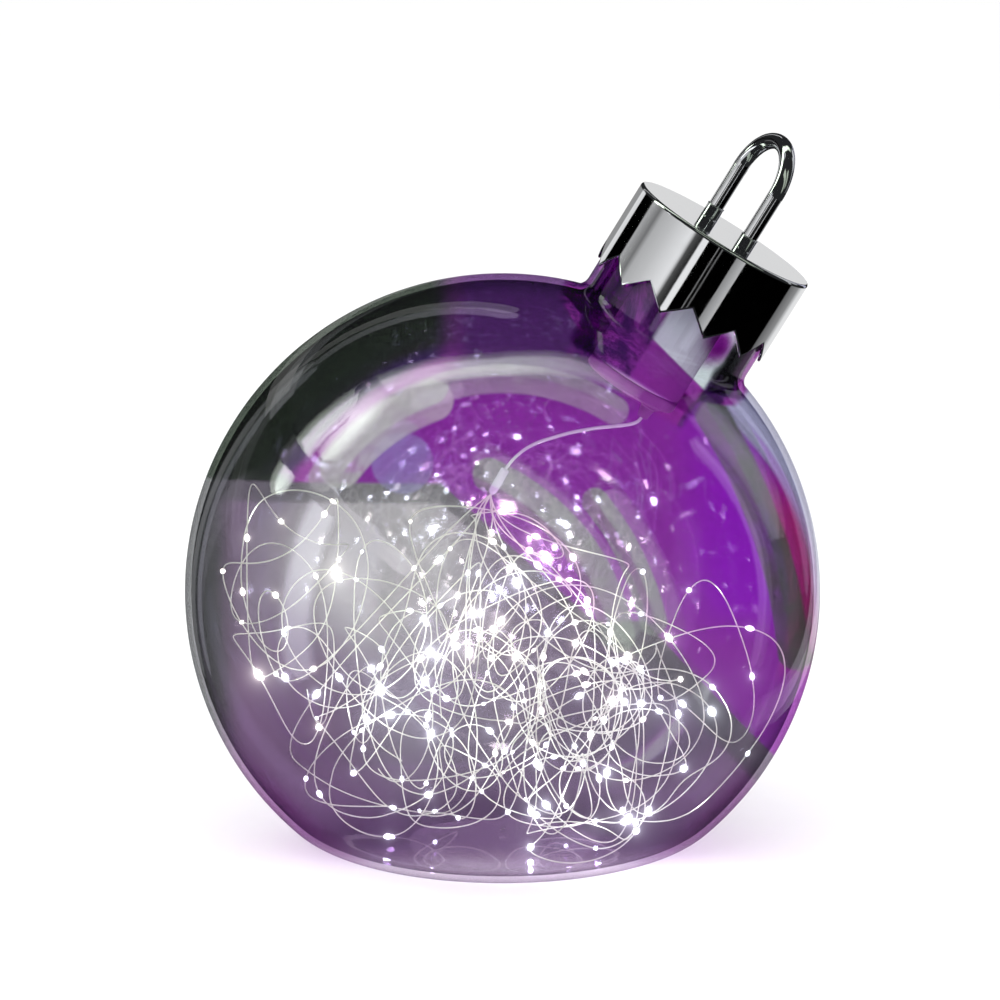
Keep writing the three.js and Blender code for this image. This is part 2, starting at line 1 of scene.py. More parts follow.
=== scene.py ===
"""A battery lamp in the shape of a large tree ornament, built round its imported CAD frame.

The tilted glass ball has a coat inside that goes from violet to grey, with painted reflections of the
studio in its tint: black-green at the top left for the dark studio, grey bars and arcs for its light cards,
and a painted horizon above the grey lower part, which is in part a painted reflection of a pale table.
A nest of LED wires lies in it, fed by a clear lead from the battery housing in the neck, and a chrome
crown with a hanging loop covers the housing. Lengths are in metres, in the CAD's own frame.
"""

import json
import math
import random

import bmesh
import bpy
from mathutils import Matrix, Vector


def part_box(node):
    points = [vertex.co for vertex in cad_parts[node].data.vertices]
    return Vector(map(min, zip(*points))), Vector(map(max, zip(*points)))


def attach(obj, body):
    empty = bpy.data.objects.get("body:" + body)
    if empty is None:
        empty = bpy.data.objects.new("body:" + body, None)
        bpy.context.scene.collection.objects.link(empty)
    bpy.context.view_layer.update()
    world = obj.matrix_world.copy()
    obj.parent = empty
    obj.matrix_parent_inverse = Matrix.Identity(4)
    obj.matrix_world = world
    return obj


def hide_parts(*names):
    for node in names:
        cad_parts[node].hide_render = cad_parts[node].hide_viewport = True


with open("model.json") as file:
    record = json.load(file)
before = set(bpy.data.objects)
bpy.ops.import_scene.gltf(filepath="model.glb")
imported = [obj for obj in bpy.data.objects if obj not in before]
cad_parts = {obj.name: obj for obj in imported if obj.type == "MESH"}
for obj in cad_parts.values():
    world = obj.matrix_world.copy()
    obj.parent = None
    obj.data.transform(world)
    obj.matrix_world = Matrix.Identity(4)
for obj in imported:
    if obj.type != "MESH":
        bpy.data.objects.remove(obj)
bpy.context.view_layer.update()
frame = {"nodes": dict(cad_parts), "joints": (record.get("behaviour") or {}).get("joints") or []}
MM = 0.001

# The glass ball, as the CAD has it.
BALL_RADIUS = -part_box("glass_globe")[0].x
BALL_CENTRE = Vector((0, 0, 103 * MM))
FOOT_BLEND = 15 * MM
GLASS = 2.5 * MM
NECK_RADIUS = 36.2 * MM
NECK_FILLET = 6 * MM
NECK_RIM = 151 * MM
NECK_AXIS = Vector(next(j["axis"] for j in frame["joints"] if j["name"] == "crown_lift"))
NECK_TURN = Vector((0, 0, 1)).rotation_difference(NECK_AXIS).to_matrix()
NECK_FRAME = Matrix.Translation(BALL_CENTRE) @ NECK_TURN.to_4x4()
GLOBE_RINGS = 110
GLOBE_SEGMENTS = 160
LATHE_SEGMENTS = 96

# How far along the neck the wrap of the cells changes colour.
CELL_BAND = 138 * MM

# The crown and its loop. Heights are distances from the ball's centre along the neck.
CROWN_TOP = 167 * MM
CROWN_RADIUS = 38 * MM
CROWN_WALL = 1.2 * MM
CROWN_ROOF = 1.5 * MM
CROWN_HEIGHT = 35.2 * MM
CROWN_EDGE = 1.2 * MM
CROWN_MIDDLE = NECK_FRAME @ Vector((0, 0, CROWN_TOP - CROWN_HEIGHT / 2))
TOOTH_COUNT = 12
TOOTH_DEPTH = 8.3 * MM
LOOP_ROD = 6.3 * MM
LOOP_WIDTH = 34 * MM
LOOP_RISE = 41 * MM
LOOP_FOOT = 158.9 * MM
LOOP_TURN = math.radians(-66)
LOOP_SIDES = 40
THREAD_PITCH = 1.0 * MM
THREAD_DEPTH = 0.5 * MM
COLLAR_HEIGHT = 5.5 * MM
FITTING_GAP = 0.3 * MM
WASHER_THICKNESS = 1.0 * MM
WASHER_RIM = 2.8 * MM
NUT_FLATS = 10 * MM
NUT_HEIGHT = 4.7 * MM

# The lead and the wires. Each wire's loops lean, twist and change in size as it goes.
LEAD_WIDTH = 2.2 * MM
SPLICE_WIDTH = 3.6 * MM
WIRE = 0.5 * MM
STRAND_COUNT = 11
STRAND_LENGTH = 1.1
DROP_SPACING = 72 * MM
DROP_RADIUS = 1.05 * MM
DROP_HALF_LENGTH = 1.75 * MM
DROP_SIZES = (0.55, 1.25)
DROP_TAPER = 0.35
DROP_GLOW = 25.0
LED_POWER = 0.0045
LED_PLACES = (0.2, 0.5, 0.8)
LED_OFFSET = Vector((0, -3, 3)) * MM
WIRE_STEP = 2 * MM
LEAD_IN = 90 * MM
NEST_MIDDLE = Vector((-4, 0, -38)) * MM
NEST_REACH = (80 * MM, 44 * MM)
NEST_WANDER = Vector((30, 50, 22)) * MM
NEST_STATIONS = 6
GOLDEN_TURN = math.radians(137.5)
LOOP_MIDDLE = 33 * MM
LOOP_CHANGE = 17 * MM
LEAN_MIDDLE = 1.25
LEAN_CHANGE = 0.9
TWIST_CHANGE = 1.2
WIRE_CLEARANCE = 2.0 * MM

# The camera stands in front of the ball, a little above it, and aims a little above the ball's centre.
CAMERA_RISE = math.radians(13.2)
CAMERA_DISTANCE = 2.2
CAMERA_LENS = 200.9
CAMERA_AIM_UP = math.radians(0.929)
CAMERA_SHIFT = -0.0025

# The sky that the eye and matt surfaces see, and the one that mirrors see: each has a tint and a strength.
SKY_SEEN = ((1, 1, 1, 1), 1.1)
SKY_MIRRORED = ((0.02, 0.021, 0.022, 1), 1.0)
FLOOR_HALF = 12.0
BLOOM = {"Threshold": 1.5, "Strength": 0.9, "Size": 0.4}

# The cards that reflections show: each one's way as (turn, rise) in degrees, its width in degrees, how bright
# it is along its way, its tint, and how much of its half width fades out.
CARD_DISTANCE = 1.5
COOL = (0.95, 0.97, 1.0, 1)
MOSSY = (0.88, 1.0, 0.82, 1)
BLUISH = (0.8, 0.8, 1.0, 1)
PLAIN = (1, 1, 1, 1)
CARDS = {
    "overhead_card": (
        [(166, 20), (158, 50), (110, 80), (40, 68), (25, 50)], 11, (5, 4, 2.4, 1.9, 1.6, 0.5), MOSSY, 0.4,
    ),
    "left_card": ([(-168, -22), (-167, 5), (-168, 34)], 17, (1.1, 1.8, 1.8), COOL, 0.5),
    "left_panel": ([(-148, -18), (-146, 6), (-148, 30)], 28, (0.2, 0.6, 0.8), COOL, 0.4),
    "left_patch": ([(176, 36), (170, 48), (150, 58)], 16, (2.0, 4.2, 1.2), MOSSY, 0.6),
    "top_card": ([(70, 6), (78, 6), (86, 6)], 12, (0.75, 0.75), PLAIN, 0.1),
    "rim_card": ([(158, 2), (122, 20), (100, 42), (86, 51)], 5, (0.12, 0.2, 0.5, 0.9), PLAIN, 0.1),
    "right_back_card": ([(58, -12), (57, 4), (55, 20)], 12, (0.5, 0.7, 0.7), BLUISH, 0.3),
    "right_card": ([(14, -20), (17, 8), (16, 36)], 7, (0.4, 0.8, 0.8), COOL, 0.5),
    "right_wide_card": ([(33, 2), (33, 20), (33, 38)], 22, (0.5, 0.8, 0.6), COOL, 0.5),
    "back_left_card": ([(124, -20), (126, 4), (124, 26)], 8, (0.5, 0.7, 0.5), COOL, 0.5),
    "roof_card": ([(180, 64), (180, 72), (180, 80)], 10, (0.5, 0.6), COOL, 0.5),
    "low_card": ([(-12, -60), (0, -70), (25, -78)], 16, (0.3, 0.4), COOL, 0.5),
    "front_bar_1": ([(-100, 58), (-58, 29), (-45, -7)], 12, (0.6, 0.4), MOSSY, 0.1),
    "front_bar_2": ([(-42, 42), (-35, 18), (-30, -3)], 11, (0.6, 0.4), MOSSY, 0.1),
}

# The card that the crown's side mirrors: its width in degrees, and how bright it is at places from the
# crown's left edge (-1) to its right edge (1).
CROWN_CARD_WIDTH = 6
CROWN_BANDS = [
    (-1.00, 0.30), (-0.945, 0.34), (-0.94, 0.85), (-0.90, 0.80), (-0.895, 0.0), (-0.79, 0.0), (-0.78, 0.45),
    (-0.68, 0.20), (-0.63, 0.50), (-0.50, 0.62), (-0.30, 0.90), (-0.275, 0.80), (-0.24, 0.09), (-0.17, 0.02),
    (-0.155, 0.95), (-0.10, 0.95), (-0.095, 0.0), (0.015, 0.0), (0.02, 0.28), (0.032, 0.0), (0.055, 0.0),
    (0.06, 0.20), (0.075, 0.0), (0.225, 0.0), (0.23, 0.30), (0.33, 0.55), (0.335, 0.0), (0.84, 0.0),
    (0.85, 0.16), (0.92, 0.30), (0.96, 0.85), (1.00, 0.85),
]


# ---- shapes

def in_neck(x, y, along):
    """A point given in the neck's own frame."""
    return NECK_FRAME @ Vector((x, y, along))


def polar(radius, angle):
    return radius * math.cos(angle), radius * math.sin(angle)


def around(count, first=0.0):
    """Even turns of a full circle."""
    return [first + 2 * math.pi * i / count for i in range(count)]


def put_in_scene(name, data):
    thing = bpy.data.objects.new(name, data)
    bpy.context.scene.collection.objects.link(thing)
    return thing


def finish_piece(name, mesh, material, body="root", nodes=()):
    """Puts a new piece in the scene, on its body, with its material."""
    piece = put_in_scene(name, mesh)
    if isinstance(mesh, bpy.types.Mesh):
        mesh.shade_smooth()
        mesh.set_sharp_from_angle(angle=math.radians(38))
    if not mesh.materials:
        mesh.materials.append(material)
    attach(piece, body)
    if nodes:
        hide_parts(*nodes)
    return piece


def grid_faces(rows, columns, closed_rows=False):
    """The faces between rings of points. Each ring is closed, and so is the stack if closed_rows."""
    faces = []
    for row in range(rows if closed_rows else rows - 1):
        upper = (row + 1) % rows
        for column in range(columns):
            right = (column + 1) % columns
            faces.append((
                row * columns + column, row * columns + right,
                upper * columns + right, upper * columns + column,
            ))
    return faces


def mesh_from(name, points, faces):
    mesh = bpy.data.meshes.new(name)
    mesh.from_pydata([tuple(p) for p in points], [], faces)
    return welded(mesh, 1e-6)


def welded(mesh, reach):
    """The mesh, with points that lie within reach of each other joined and its faces turned outwards."""
    shape = bmesh.new()
    shape.from_mesh(mesh)
    bmesh.ops.remove_doubles(shape, verts=shape.verts, dist=reach)
    bmesh.ops.recalc_face_normals(shape, faces=shape.faces)
    shape.to_mesh(mesh)
    shape.free()
    return mesh


def lathe(name, profile, place, segments=LATHE_SEGMENTS):
    """A solid of revolution. The profile is (radius, height) points, and closes on itself or on the axis."""
    turns = around(segments)
    points = [place @ Vector((*polar(radius, turn), height)) for radius, height in profile for turn in turns]
    return mesh_from(name, points, grid_faces(len(profile), segments))


def ring_points(rings, turns, place):
    """The points of rings that give a (radius, height) for each turn."""
    return [
        place @ Vector((*polar(radius, turn), height))
        for ring in rings for (radius, height), turn in zip(ring, turns)
    ]


def arc(centre, radius, first, last, steps):
    """Points on an arc, with angles in degrees."""
    turns = [math.radians(first + (last - first) * i / steps) for i in range(steps + 1)]
    return [(centre[0] + radius * math.cos(t), centre[1] + radius * math.sin(t)) for t in turns]


def smooth_route(points, step):
    """A centripetal curve through the points, cut into even steps."""
    padded = [points[0] * 2 - points[1], *points, points[-1] * 2 - points[-2]]
    dense = []
    for a, b, c, d in zip(padded, padded[1:], padded[2:], padded[3:]):
        t1 = (b - a).length ** 0.5
        t2 = t1 + (c - b).length ** 0.5
        t3 = t2 + (d - c).length ** 0.5
        for i in range(12):
            t = t1 + (t2 - t1) * i / 12
            ab, bc, cd = a.lerp(b, t / t1), b.lerp(c, (t - t1) / (t2 - t1)), c.lerp(d, (t - t2) / (t3 - t2))
            abc, bcd = ab.lerp(bc, t / t2), bc.lerp(cd, (t - t1) / (t3 - t1))
            dense.append(abc.lerp(bcd, (t - t1) / (t2 - t1)))
    dense.append(points[-1].copy())
    return even_steps(dense, step)


def even_steps(points, step):
    """The same line, with its points an even step apart."""
    lengths = [0.0]
    for p, q in zip(points, points[1:]):
        lengths.append(lengths[-1] + (q - p).length)
    count = max(2, round(lengths[-1] / step))
    even, at = [], 0
    for i in range(count + 1):
        target = lengths[-1] * i / count
        while at < len(lengths) - 2 and lengths[at + 1] < target:
            at += 1
        share = (target - lengths[at]) / max(lengths[at + 1] - lengths[at], 1e-12)
        even.append(points[at].lerp(points[at + 1], min(max(share, 0.0), 1.0)))
    return even


def line_length(points):
    return sum((q - p).length for p, q in zip(points, points[1:]))


def along_at(points, i):
    """The direction of a line at one of its points."""
    return (points[min(i + 1, len(points) - 1)] - points[max(i - 1, 0)]).normalized()


def carried_frames(points, first_side):
    """For each point of a line, a side and an up direction that turn as little as they can."""
    frames, side = [], Vector(first_side)
    for i in range(len(points)):
        along = along_at(points, i)
        side = (side - along * side.dot(along)).normalized()
        frames.append((side, along.cross(side)))
    return frames


def swept(name, points, section, first_side):
    """A closed tube along a line. section(share) gives the outline there, as (side, up) pairs."""
    frames = carried_frames(points, first_side)
    rings = []
    for i, (point, (side, up)) in enumerate(zip(points, frames)):
        outline = section(i / (len(points) - 1))
        rings.append([point + side * s + up * u for s, u in outline])
    columns = len(rings[0])
    faces = grid_faces(len(rings), columns)
    faces.append(tuple(range(columns)))
    faces.append(tuple((len(rings) - 1) * columns + i for i in range(columns)))
    return mesh_from(name, [p for ring in rings for p in ring], faces)


def wire_curve(name, points, diameter):
    """A round wire as a curve of one open spline."""
    curve = bpy.data.curves.new(name, "CURVE")
    curve.dimensions = "3D"
    curve.bevel_depth = diameter / 2
    curve.bevel_resolution = 2
    curve.use_fill_caps = True
    spline = curve.splines.new("POLY")
    spline.points.add(len(points) - 1)
    for at, point in zip(spline.points, points):
        at.co = (*point, 1)
    spline.use_smooth = True
    return curve


# ---- materials

class Paint:
    """One node material, and short ways to add to it."""

    def __init__(self, name):
        self.material = bpy.data.materials.new(name)
        self.material.use_nodes = True
        self.tree = self.material.node_tree
        self.tree.nodes.clear()
        self.output = self.tree.nodes.new("ShaderNodeOutputMaterial")
        self.place = self.add("TexCoord", output="Object")

    def add(self, kind, inputs=None, output=0, **settings):
        node = self.tree.nodes.new("ShaderNode" + kind)
        for name, value in settings.items():
            setattr(node, name, value)
        for name, value in (inputs or {}).items():
            if isinstance(value, bpy.types.NodeSocket):
                self.tree.links.new(value, node.inputs[name])
            else:
                node.inputs[name].default_value = value
        return node.outputs[output]

    def math(self, operation, first, second=0.0, clamp=False):
        return self.add("Math", {0: first, 1: second}, operation=operation, use_clamp=clamp)

    def plus(self, first, second, clamp=False):
        return self.math("ADD", first, second, clamp)

    def minus(self, first, second):
        return self.math("SUBTRACT", first, second)

    def times(self, first, second):
        return self.math("MULTIPLY", first, second)

    def distance(self, across, up, middle=None):
        """How far (across, up) is from the middle, or from the origin."""
        if middle:
            across, up = self.minus(across, middle[0]), self.minus(up, middle[1])
        return self.math("SQRT", self.plus(self.times(across, across), self.times(up, up)))

    def stretched(self, scale, turn=(0, 0, 0)):
        """The place for a texture that is turned and stretched."""
        return self.add("Mapping", {"Vector": self.place, "Rotation": turn, "Scale": scale})

    def noise(self, scale, detail=3.0, roughness=0.5, place=None, distortion=0.0):
        return self.add("TexNoise", {
            "Vector": place or self.place, "Scale": scale, "Detail": detail,
            "Roughness": roughness, "Distortion": distortion,
        })

    def waver(self, scale, detail, roughness, reach):
        """A smooth random value, even about zero."""
        return self.times(self.minus(self.noise(scale, detail, roughness), 0.5), reach)

    def between(self, value, low, high, start=0.0, end=1.0):
        """value from low to high, mapped smoothly to start to end."""
        return self.add("MapRange", {
            "Value": value, "From Min": low, "From Max": high, "To Min": start, "To Max": end,
        }, interpolation_type="SMOOTHSTEP")

    def mixed(self, share, first, second):
        """A colour between first and second."""
        return self.add("Mix", {0: share, 6: first, 7: second}, output=2, data_type="RGBA")

    def bump(self, height, strength, distance):
        return self.add("Bump", {"Height": height, "Strength": strength, "Distance": distance})

    def principled(self, **inputs):
        names = {key.replace("_", " "): value for key, value in inputs.items()}
        shader = self.add("BsdfPrincipled", names)
        self.finish(shader)
        return self.material

    def finish(self, shader):
        self.tree.links.new(shader, self.output.inputs["Surface"])
        return self.material


def colour(red, green, blue):
    return (red, green, blue, 1.0)


def chrome_paint(name, rough_low, rough_high, wave):
    """Bright plating; wave is how far its sheet is from true."""
    paint = Paint(name)
    scratches = paint.times(paint.noise(900.0, 4.0, 0.7), 0.04)
    normal = paint.bump(paint.plus(paint.noise(60.0, 2.0), scratches), wave, 0.4 * MM)
    rough = paint.between(paint.noise(220.0, 4.0, 0.6), 0.35, 0.75, rough_low, rough_high)
    return paint.principled(
        Base_Color=colour(0.80, 0.81, 0.83), Metallic=1.0, Roughness=rough, Normal=normal,
    )


def grained_paint(name, low, high, rough, grain, **more):
    """A surface with a fine grain in its colour and its shape. grain is how fine, strong and deep it is."""
    scale, strength, depth = grain
    paint = Paint(name)
    spots = paint.noise(scale, 3.0)
    normal = paint.bump(spots, strength, depth)
    return paint.principled(Base_Color=paint.mixed(spots, low, high), Roughness=rough, Normal=normal, **more)


def steel_paint():
    paint = Paint("steel")
    grain = paint.noise(1400.0, 3.0, 0.6)
    rough = paint.between(grain, 0.3, 0.7, 0.24, 0.42)
    tint = paint.mixed(paint.noise(300.0, 3.0), colour(0.50, 0.51, 0.52), colour(0.66, 0.67, 0.68))
    return paint.principled(
        Base_Color=tint, Metallic=1.0, Roughness=rough, Normal=paint.bump(grain, 0.2, 0.05 * MM),
    )


def silicone_paint():
    return grained_paint(
        "silicone", colour(0.66, 0.66, 0.64), colour(0.80, 0.80, 0.78), 0.55, (700.0, 0.25, 0.1 * MM),
        Subsurface_Weight=0.2, Subsurface_Radius=(0.002, 0.002, 0.002),
    )


def moulded_paint(name, low, high, rough_low, rough_high, clear=0.0):
    """Moulded plastic with a fine spark finish; clear is how much of it shows what is behind."""
    paint = Paint(name)
    grain = paint.noise(1100.0, 3.0, 0.6)
    tint = paint.mixed(paint.noise(160.0, 3.0), low, high)
    shader = paint.add("BsdfPrincipled", {
        "Base Color": tint, "Roughness": paint.between(grain, 0.3, 0.7, rough_low, rough_high),
        "Normal": paint.bump(grain, 0.15, 0.06 * MM),
    })
    if clear:
        window = paint.add("BsdfTransparent", {"Color": colour(0.93, 0.92, 0.97)})
        shader = paint.add("MixShader", {0: clear, 1: shader, 2: window})
    return paint.finish(shader)


def cell_paint():
    """A shrink wrap in two plain colours."""
    paint = Paint("cell_wrap")
    ways = {0: paint.place, 1: tuple(NECK_AXIS)}
    along = paint.add("VectorMath", ways, operation="DOT_PRODUCT", output="Value")
    band = paint.math("GREATER_THAN", along, NECK_AXIS.dot(BALL_CENTRE) + CELL_BAND)
    grain = paint.noise(900.0, 3.0)
    wrap = paint.mixed(band, colour(0.045, 0.05, 0.06), colour(0.42, 0.26, 0.10))
    tint = paint.mixed(paint.times(grain, 0.25), wrap, colour(0.3, 0.3, 0.32))
    return paint.principled(
        Base_Color=tint, Metallic=0.5, Roughness=0.3, Normal=paint.bump(grain, 0.1, 0.03 * MM),
    )


def board_paint():
    paint = Paint("board")
    tracks = paint.add("TexVoronoi", {"Vector": paint.place, "Scale": 420.0}, feature="DISTANCE_TO_EDGE")
    line = paint.between(tracks, 0.03, 0.06)
    tint = paint.mixed(line, colour(0.05, 0.20, 0.08), colour(0.02, 0.10, 0.04))
    return paint.principled(Base_Color=tint, Roughness=0.45, Normal=paint.bump(line, 0.3, 0.03 * MM))


def wire_paint(name, low, high, rough=0.35):
    return grained_paint(name, low, high, rough, (800.0, 0.2, 0.03 * MM))


def drop_paint(name, tint):
    """A drop of clear resin over a lit LED chip. Some shine far more than others."""
    paint = Paint(name)
    glow = paint.between(paint.noise(45.0, 1.0), 0.42, 0.68, 0.15 * DROP_GLOW, 2.5 * DROP_GLOW)
    paint.material.cycles.emission_sampling = "NONE"
    return paint.principled(
        Base_Color=colour(0.9, 0.9, 0.92), Roughness=0.1, Emission_Color=tint, Emission_Strength=glow,
    )


# What the coat leaves of white light, in two passes through the ball. Several of these also serve as
# painted reflections of the studio, as marked where they are laid on.
BLACK_GREEN = colour(0.014, 0.021, 0.014)
NAVY = colour(0.030, 0.016, 0.080)
DEEP_VIOLET = colour(0.070, 0.016, 0.130)
VIOLET = colour(0.250, 0.020, 0.360)
BLUE_VIOLET = colour(0.260, 0.006, 0.520)
GREY_LILAC = colour(0.260, 0.215, 0.300)
DUSK = colour(0.150, 0.100, 0.190)
PALE_GREY = colour(0.480, 0.470, 0.490)
SMOKE = colour(0.095, 0.100, 0.105)
MOSS = colour(0.070, 0.085, 0.068)
PLUM = colour(0.260, 0.150, 0.300)
MAGENTA = colour(0.300, 0.160, 0.360)
AUBERGINE = colour(0.130, 0.050, 0.160)
FOXGLOVE = colour(0.240, 0.060, 0.270)
HEATHER = colour(0.090, 0.036, 0.115)
CRIMSON = colour(0.400, 0.015, 0.200)
LAVENDER = colour(0.400, 0.400, 0.620)
ASH = colour(0.260, 0.300, 0.260)
MOONLIGHT = colour(0.600, 0.620, 0.600)
PERIWINKLE = colour(0.300, 0.270, 0.600)
PEARL = colour(0.860, 0.920, 0.940)
ORCHID = colour(0.330, 0.040, 0.380)

# The coat's layers, from the lowest: how strong each is, its tint, and the windows that it shows through.
# A window opens smoothly from its first value to its second, by one of coat_measures.
LOW_LAYERS = [
    (1.00, DUSK, [("u_blurred", -0.30, 0.30)]),
    # A painted reflection: the pale patch that the studio's light cards leave at the left.
    (1.00, PALE_GREY, [("patch", 0.42, 0.18)]),
    (0.80, AUBERGINE, [("v", 0.0, -0.45), ("u_blurred", -0.30, -0.60)]),
    (1.00, PLUM, [("reach_wavy", 0.80, 0.96)]),
    (1.00, SMOKE, [("left_wavy", 0.82, 0.93)]),
    (0.80, MAGENTA, [("down_wavy", 0.50, 0.72)]),
    (1.00, HEATHER, [("down_wavy", 0.80, 0.90)]),
    (1.00, FOXGLOVE, [("reach", 0.925, 0.975), ("v", -0.45, -0.70)]),
    # A dark band just under the border, as part of its painted horizon.
    (0.65, SMOKE, [("border", 0.075, 0.055)]),
]
LEFT_SIDE = ("u_wavy", -0.10, -0.24)
RIGHT_SIDE = ("u", 0.45, 0.66)
HIGH_LAYERS = [
    (1.00, BLUE_VIOLET, [("u_blurred", 0.52, 0.76), ("v", -0.20, 0.0)]),
    (1.00, DEEP_VIOLET, [("v_blurred", 0.58, 0.78)]),
    (1.00, ORCHID, [("reach_wavy", 0.69, 0.72), LEFT_SIDE]),
    # A painted reflection of the dark studio: a black-green rim at the top left, with a navy edge.
    (1.00, NAVY, [("reach_wavy", 0.755, 0.795), LEFT_SIDE]),
    (1.00, BLACK_GREEN, [("reach_wavy", 0.785, 0.84), LEFT_SIDE]),
    (1.00, CRIMSON, [("right_edge", 0.703, 0.718), RIGHT_SIDE, ("v", -0.32, -0.12), ("v", 0.50, 0.20)]),
    # A painted reflection: lavender along the right rim.
    (1.00, LAVENDER, [("right_edge", 0.770, 0.786), RIGHT_SIDE, ("v", -0.30, 0.05)]),
]
PANEL_LAYERS = [
    (1.00, PEARL, [("panel_edge", 0.895, 0.905)]),
    (1.00, ORCHID, [("panel_spot", 0.075, 0.015)]),
]
NECK_SHADE_LAYERS = [(1.00, SMOKE, [("along", 0.90, 0.94)])]
NECK_WINDOW = [("along", 0.745, 0.765), ("beside", 0.015, -0.015)]

# Painted reflections of the studio's light cards, as bars in the coat's tint: how strong, their tint, and
# the bar's middle, radius, half width and two angles.
PAINTED_REFLECTION_BARS = [
    (0.60, PERIWINKLE, ((-0.33, 0.42), 0.0, 0.10, 180, -180)),
    (0.60, PALE_GREY, ((0.0, 0.0), 0.695, 0.045, 148, 58)),
    (0.80, MOONLIGHT, ((0.0, 0.0), 0.665, 0.065, 143, 110)),
    (0.85, ASH, ((-0.352, -0.308), 0.757, 0.055, 66, 12)),
    (0.85, ASH, ((-0.464, -0.328), 0.992, 0.043, 39, 13)),
    (1.00, MOSS, ((-0.70, -0.32), 1.636, 0.047, 33, 4)),
]
BAR_BLUR = 0.006
FINE_STREAKS = 0.30

# The places that the coat is painted by. The whole pattern leans back by COAT_TILT.
COAT_TILT = math.radians(13.2)
PATCH_MIDDLE = (-0.40, 0.12)
EDGE_MIDDLE = (0.21, -0.033)
SPOT_MIDDLE = (0.17, 1.0)
NECK_LEAN = (0.52, 0.854)

# The border between low and high is a painted horizon, the edge of a pale table's painted reflection. It
# runs level, then falls to the right in two slopes of (start, fall).
BORDER_LEVEL = 0.354
BORDER_SLOPES = ((0.17, 0.90), (0.412, 1.09))
BORDER_BEND = -0.10
BORDER_BLUR = 0.008

# How much deeper the coat is at a slant, and how much the glass mirrors when seen edge on.
SLANT_DEPTH = 1.6
SLANT_POWER = 8.0
EDGE_MIRROR = 0.4
EDGE_POWER = 5.0


def coat_measures(paint):
    """The values that the coat is painted by, in units of the ball's radius: u runs to the right and v up."""
    turned = paint.add("Mapping", {
        "Vector": paint.place,
        "Location": tuple(Matrix.Rotation(COAT_TILT, 3, "X") @ (-BALL_CENTRE / BALL_RADIUS)),
        "Rotation": (COAT_TILT, 0, 0),
        "Scale": (1 / BALL_RADIUS,) * 3,
    })
    split = paint.tree.nodes.new("ShaderNodeSeparateXYZ")
    paint.tree.links.new(turned, split.inputs[0])
    u, depth, v = split.outputs
    wander, blur = paint.waver(14.0, 3.0, 0.5, 0.10), paint.waver(30.0, 4.0, 0.6, 0.16)
    reach = paint.distance(u, v)
    below = paint.minus(border_line(paint, u), v)
    along = paint.plus(paint.times(u, NECK_LEAN[0]), paint.times(v, NECK_LEAN[1]))
    across = paint.minus(paint.times(u, NECK_LEAN[1]), paint.times(v, NECK_LEAN[0]))
    neck_half = paint.between(along, 0.84, 0.90, 0.22, 0.33)
    across_blurred = paint.plus(across, paint.times(blur, 0.3))
    return {
        "u": u, "v": v, "depth": depth, "reach": reach, "wander": wander, "below": below,
        "u_blurred": paint.plus(u, blur),
        "v_blurred": paint.plus(v, blur),
        "u_wavy": paint.plus(u, wander),
        "left_wavy": paint.minus(paint.times(u, -1.0), wander),
        "down_wavy": paint.minus(wander, v),
        "reach_wavy": paint.plus(reach, wander),
        "patch": paint.plus(paint.distance(u, v, PATCH_MIDDLE), blur),
        "right_edge": paint.distance(u, v, EDGE_MIDDLE),
        "border": paint.math("DIVIDE", below, paint.between(u, 0.30, 0.50, 1.0, 2.2)),
        "along": along,
        "beside": paint.minus(paint.math("ABSOLUTE", across), neck_half),
        "across_blurred": across_blurred,
        "panel_edge": paint.plus(along, paint.times(across_blurred, 0.25)),
        "panel_spot": paint.distance(across_blurred, along, SPOT_MIDDLE),
    }


def border_line(paint, u):
    """How high the border between the coat's low and high tints is: the painted horizon of a reflected table.
    """
    inner, outer = (paint.minus(start, paint.times(u, fall)) for start, fall in BORDER_SLOPES)
    falling = paint.math("MAXIMUM", inner, paint.math("MINIMUM", outer, BORDER_BEND))
    return paint.math("MINIMUM", falling, BORDER_LEVEL)


def opened(paint, windows, places):
    """How far a row of windows is open, all together."""
    share, *others = [paint.between(places[measure], shut, wide) for measure, shut, wide in windows]
    for other in others:
        share = paint.times(share, other)
    return share


def layered(paint, tint, layers, places):
    """The tint under a row of layers."""
    for strength, tone, windows in layers:
        share = opened(paint, windows, places)
        tint = paint.mixed(share if strength == 1 else paint.times(share, strength), tint, tone)
    return tint


def bar(paint, u, v, middle, radius, half, first, last):
    """Where a bar with round ends bends round a middle, from its first to its last angle in degrees."""
    across, up = paint.minus(u, middle[0]), paint.minus(v, middle[1])
    off = paint.minus(paint.distance(across, up), radius)
    turned = paint.minus(paint.math("ARCTAN2", up, across), math.radians(first + last) / 2)
    past = paint.minus(paint.math("ABSOLUTE", turned), math.radians(abs(last - first)) / 2)
    beyond = paint.times(paint.math("MAXIMUM", past, 0.0), radius)
    return paint.between(paint.distance(off, beyond), half + BAR_BLUR, half - BAR_BLUR)


def tint_with_painted_reflections(paint, tint, places):
    """The same tint with painted reflections of the light cards as grey bars: two in front, others along the
    overhead arc and at the right.
    """
    shifted = paint.plus(places["u"], paint.times(places["wander"], 0.25))
    # The painted reflections break up in patches.
    patchy_reflection = paint.between(paint.noise(70.0, 4.0, 0.7, distortion=1.0), 0.35, 0.65, 0.70, 1.0)
    for strength, tone, shape in PAINTED_REFLECTION_BARS:
        mask = paint.times(bar(paint, shifted, places["v"], *shape), patchy_reflection)
        tint = paint.mixed(paint.times(mask, strength), tint, tone)
    return tint


def fine_streaks(paint):
    """Thin wandering runs that the coat was left with, here and there."""
    along = paint.stretched((1.0, 1.0, 0.18), (0, 0.5, 0))
    runs = paint.between(paint.noise(170.0, 3.0, 0.6, place=along, distortion=0.6), 0.60, 0.66)
    return paint.times(runs, paint.between(paint.noise(22.0, 2.0), 0.50, 0.62))


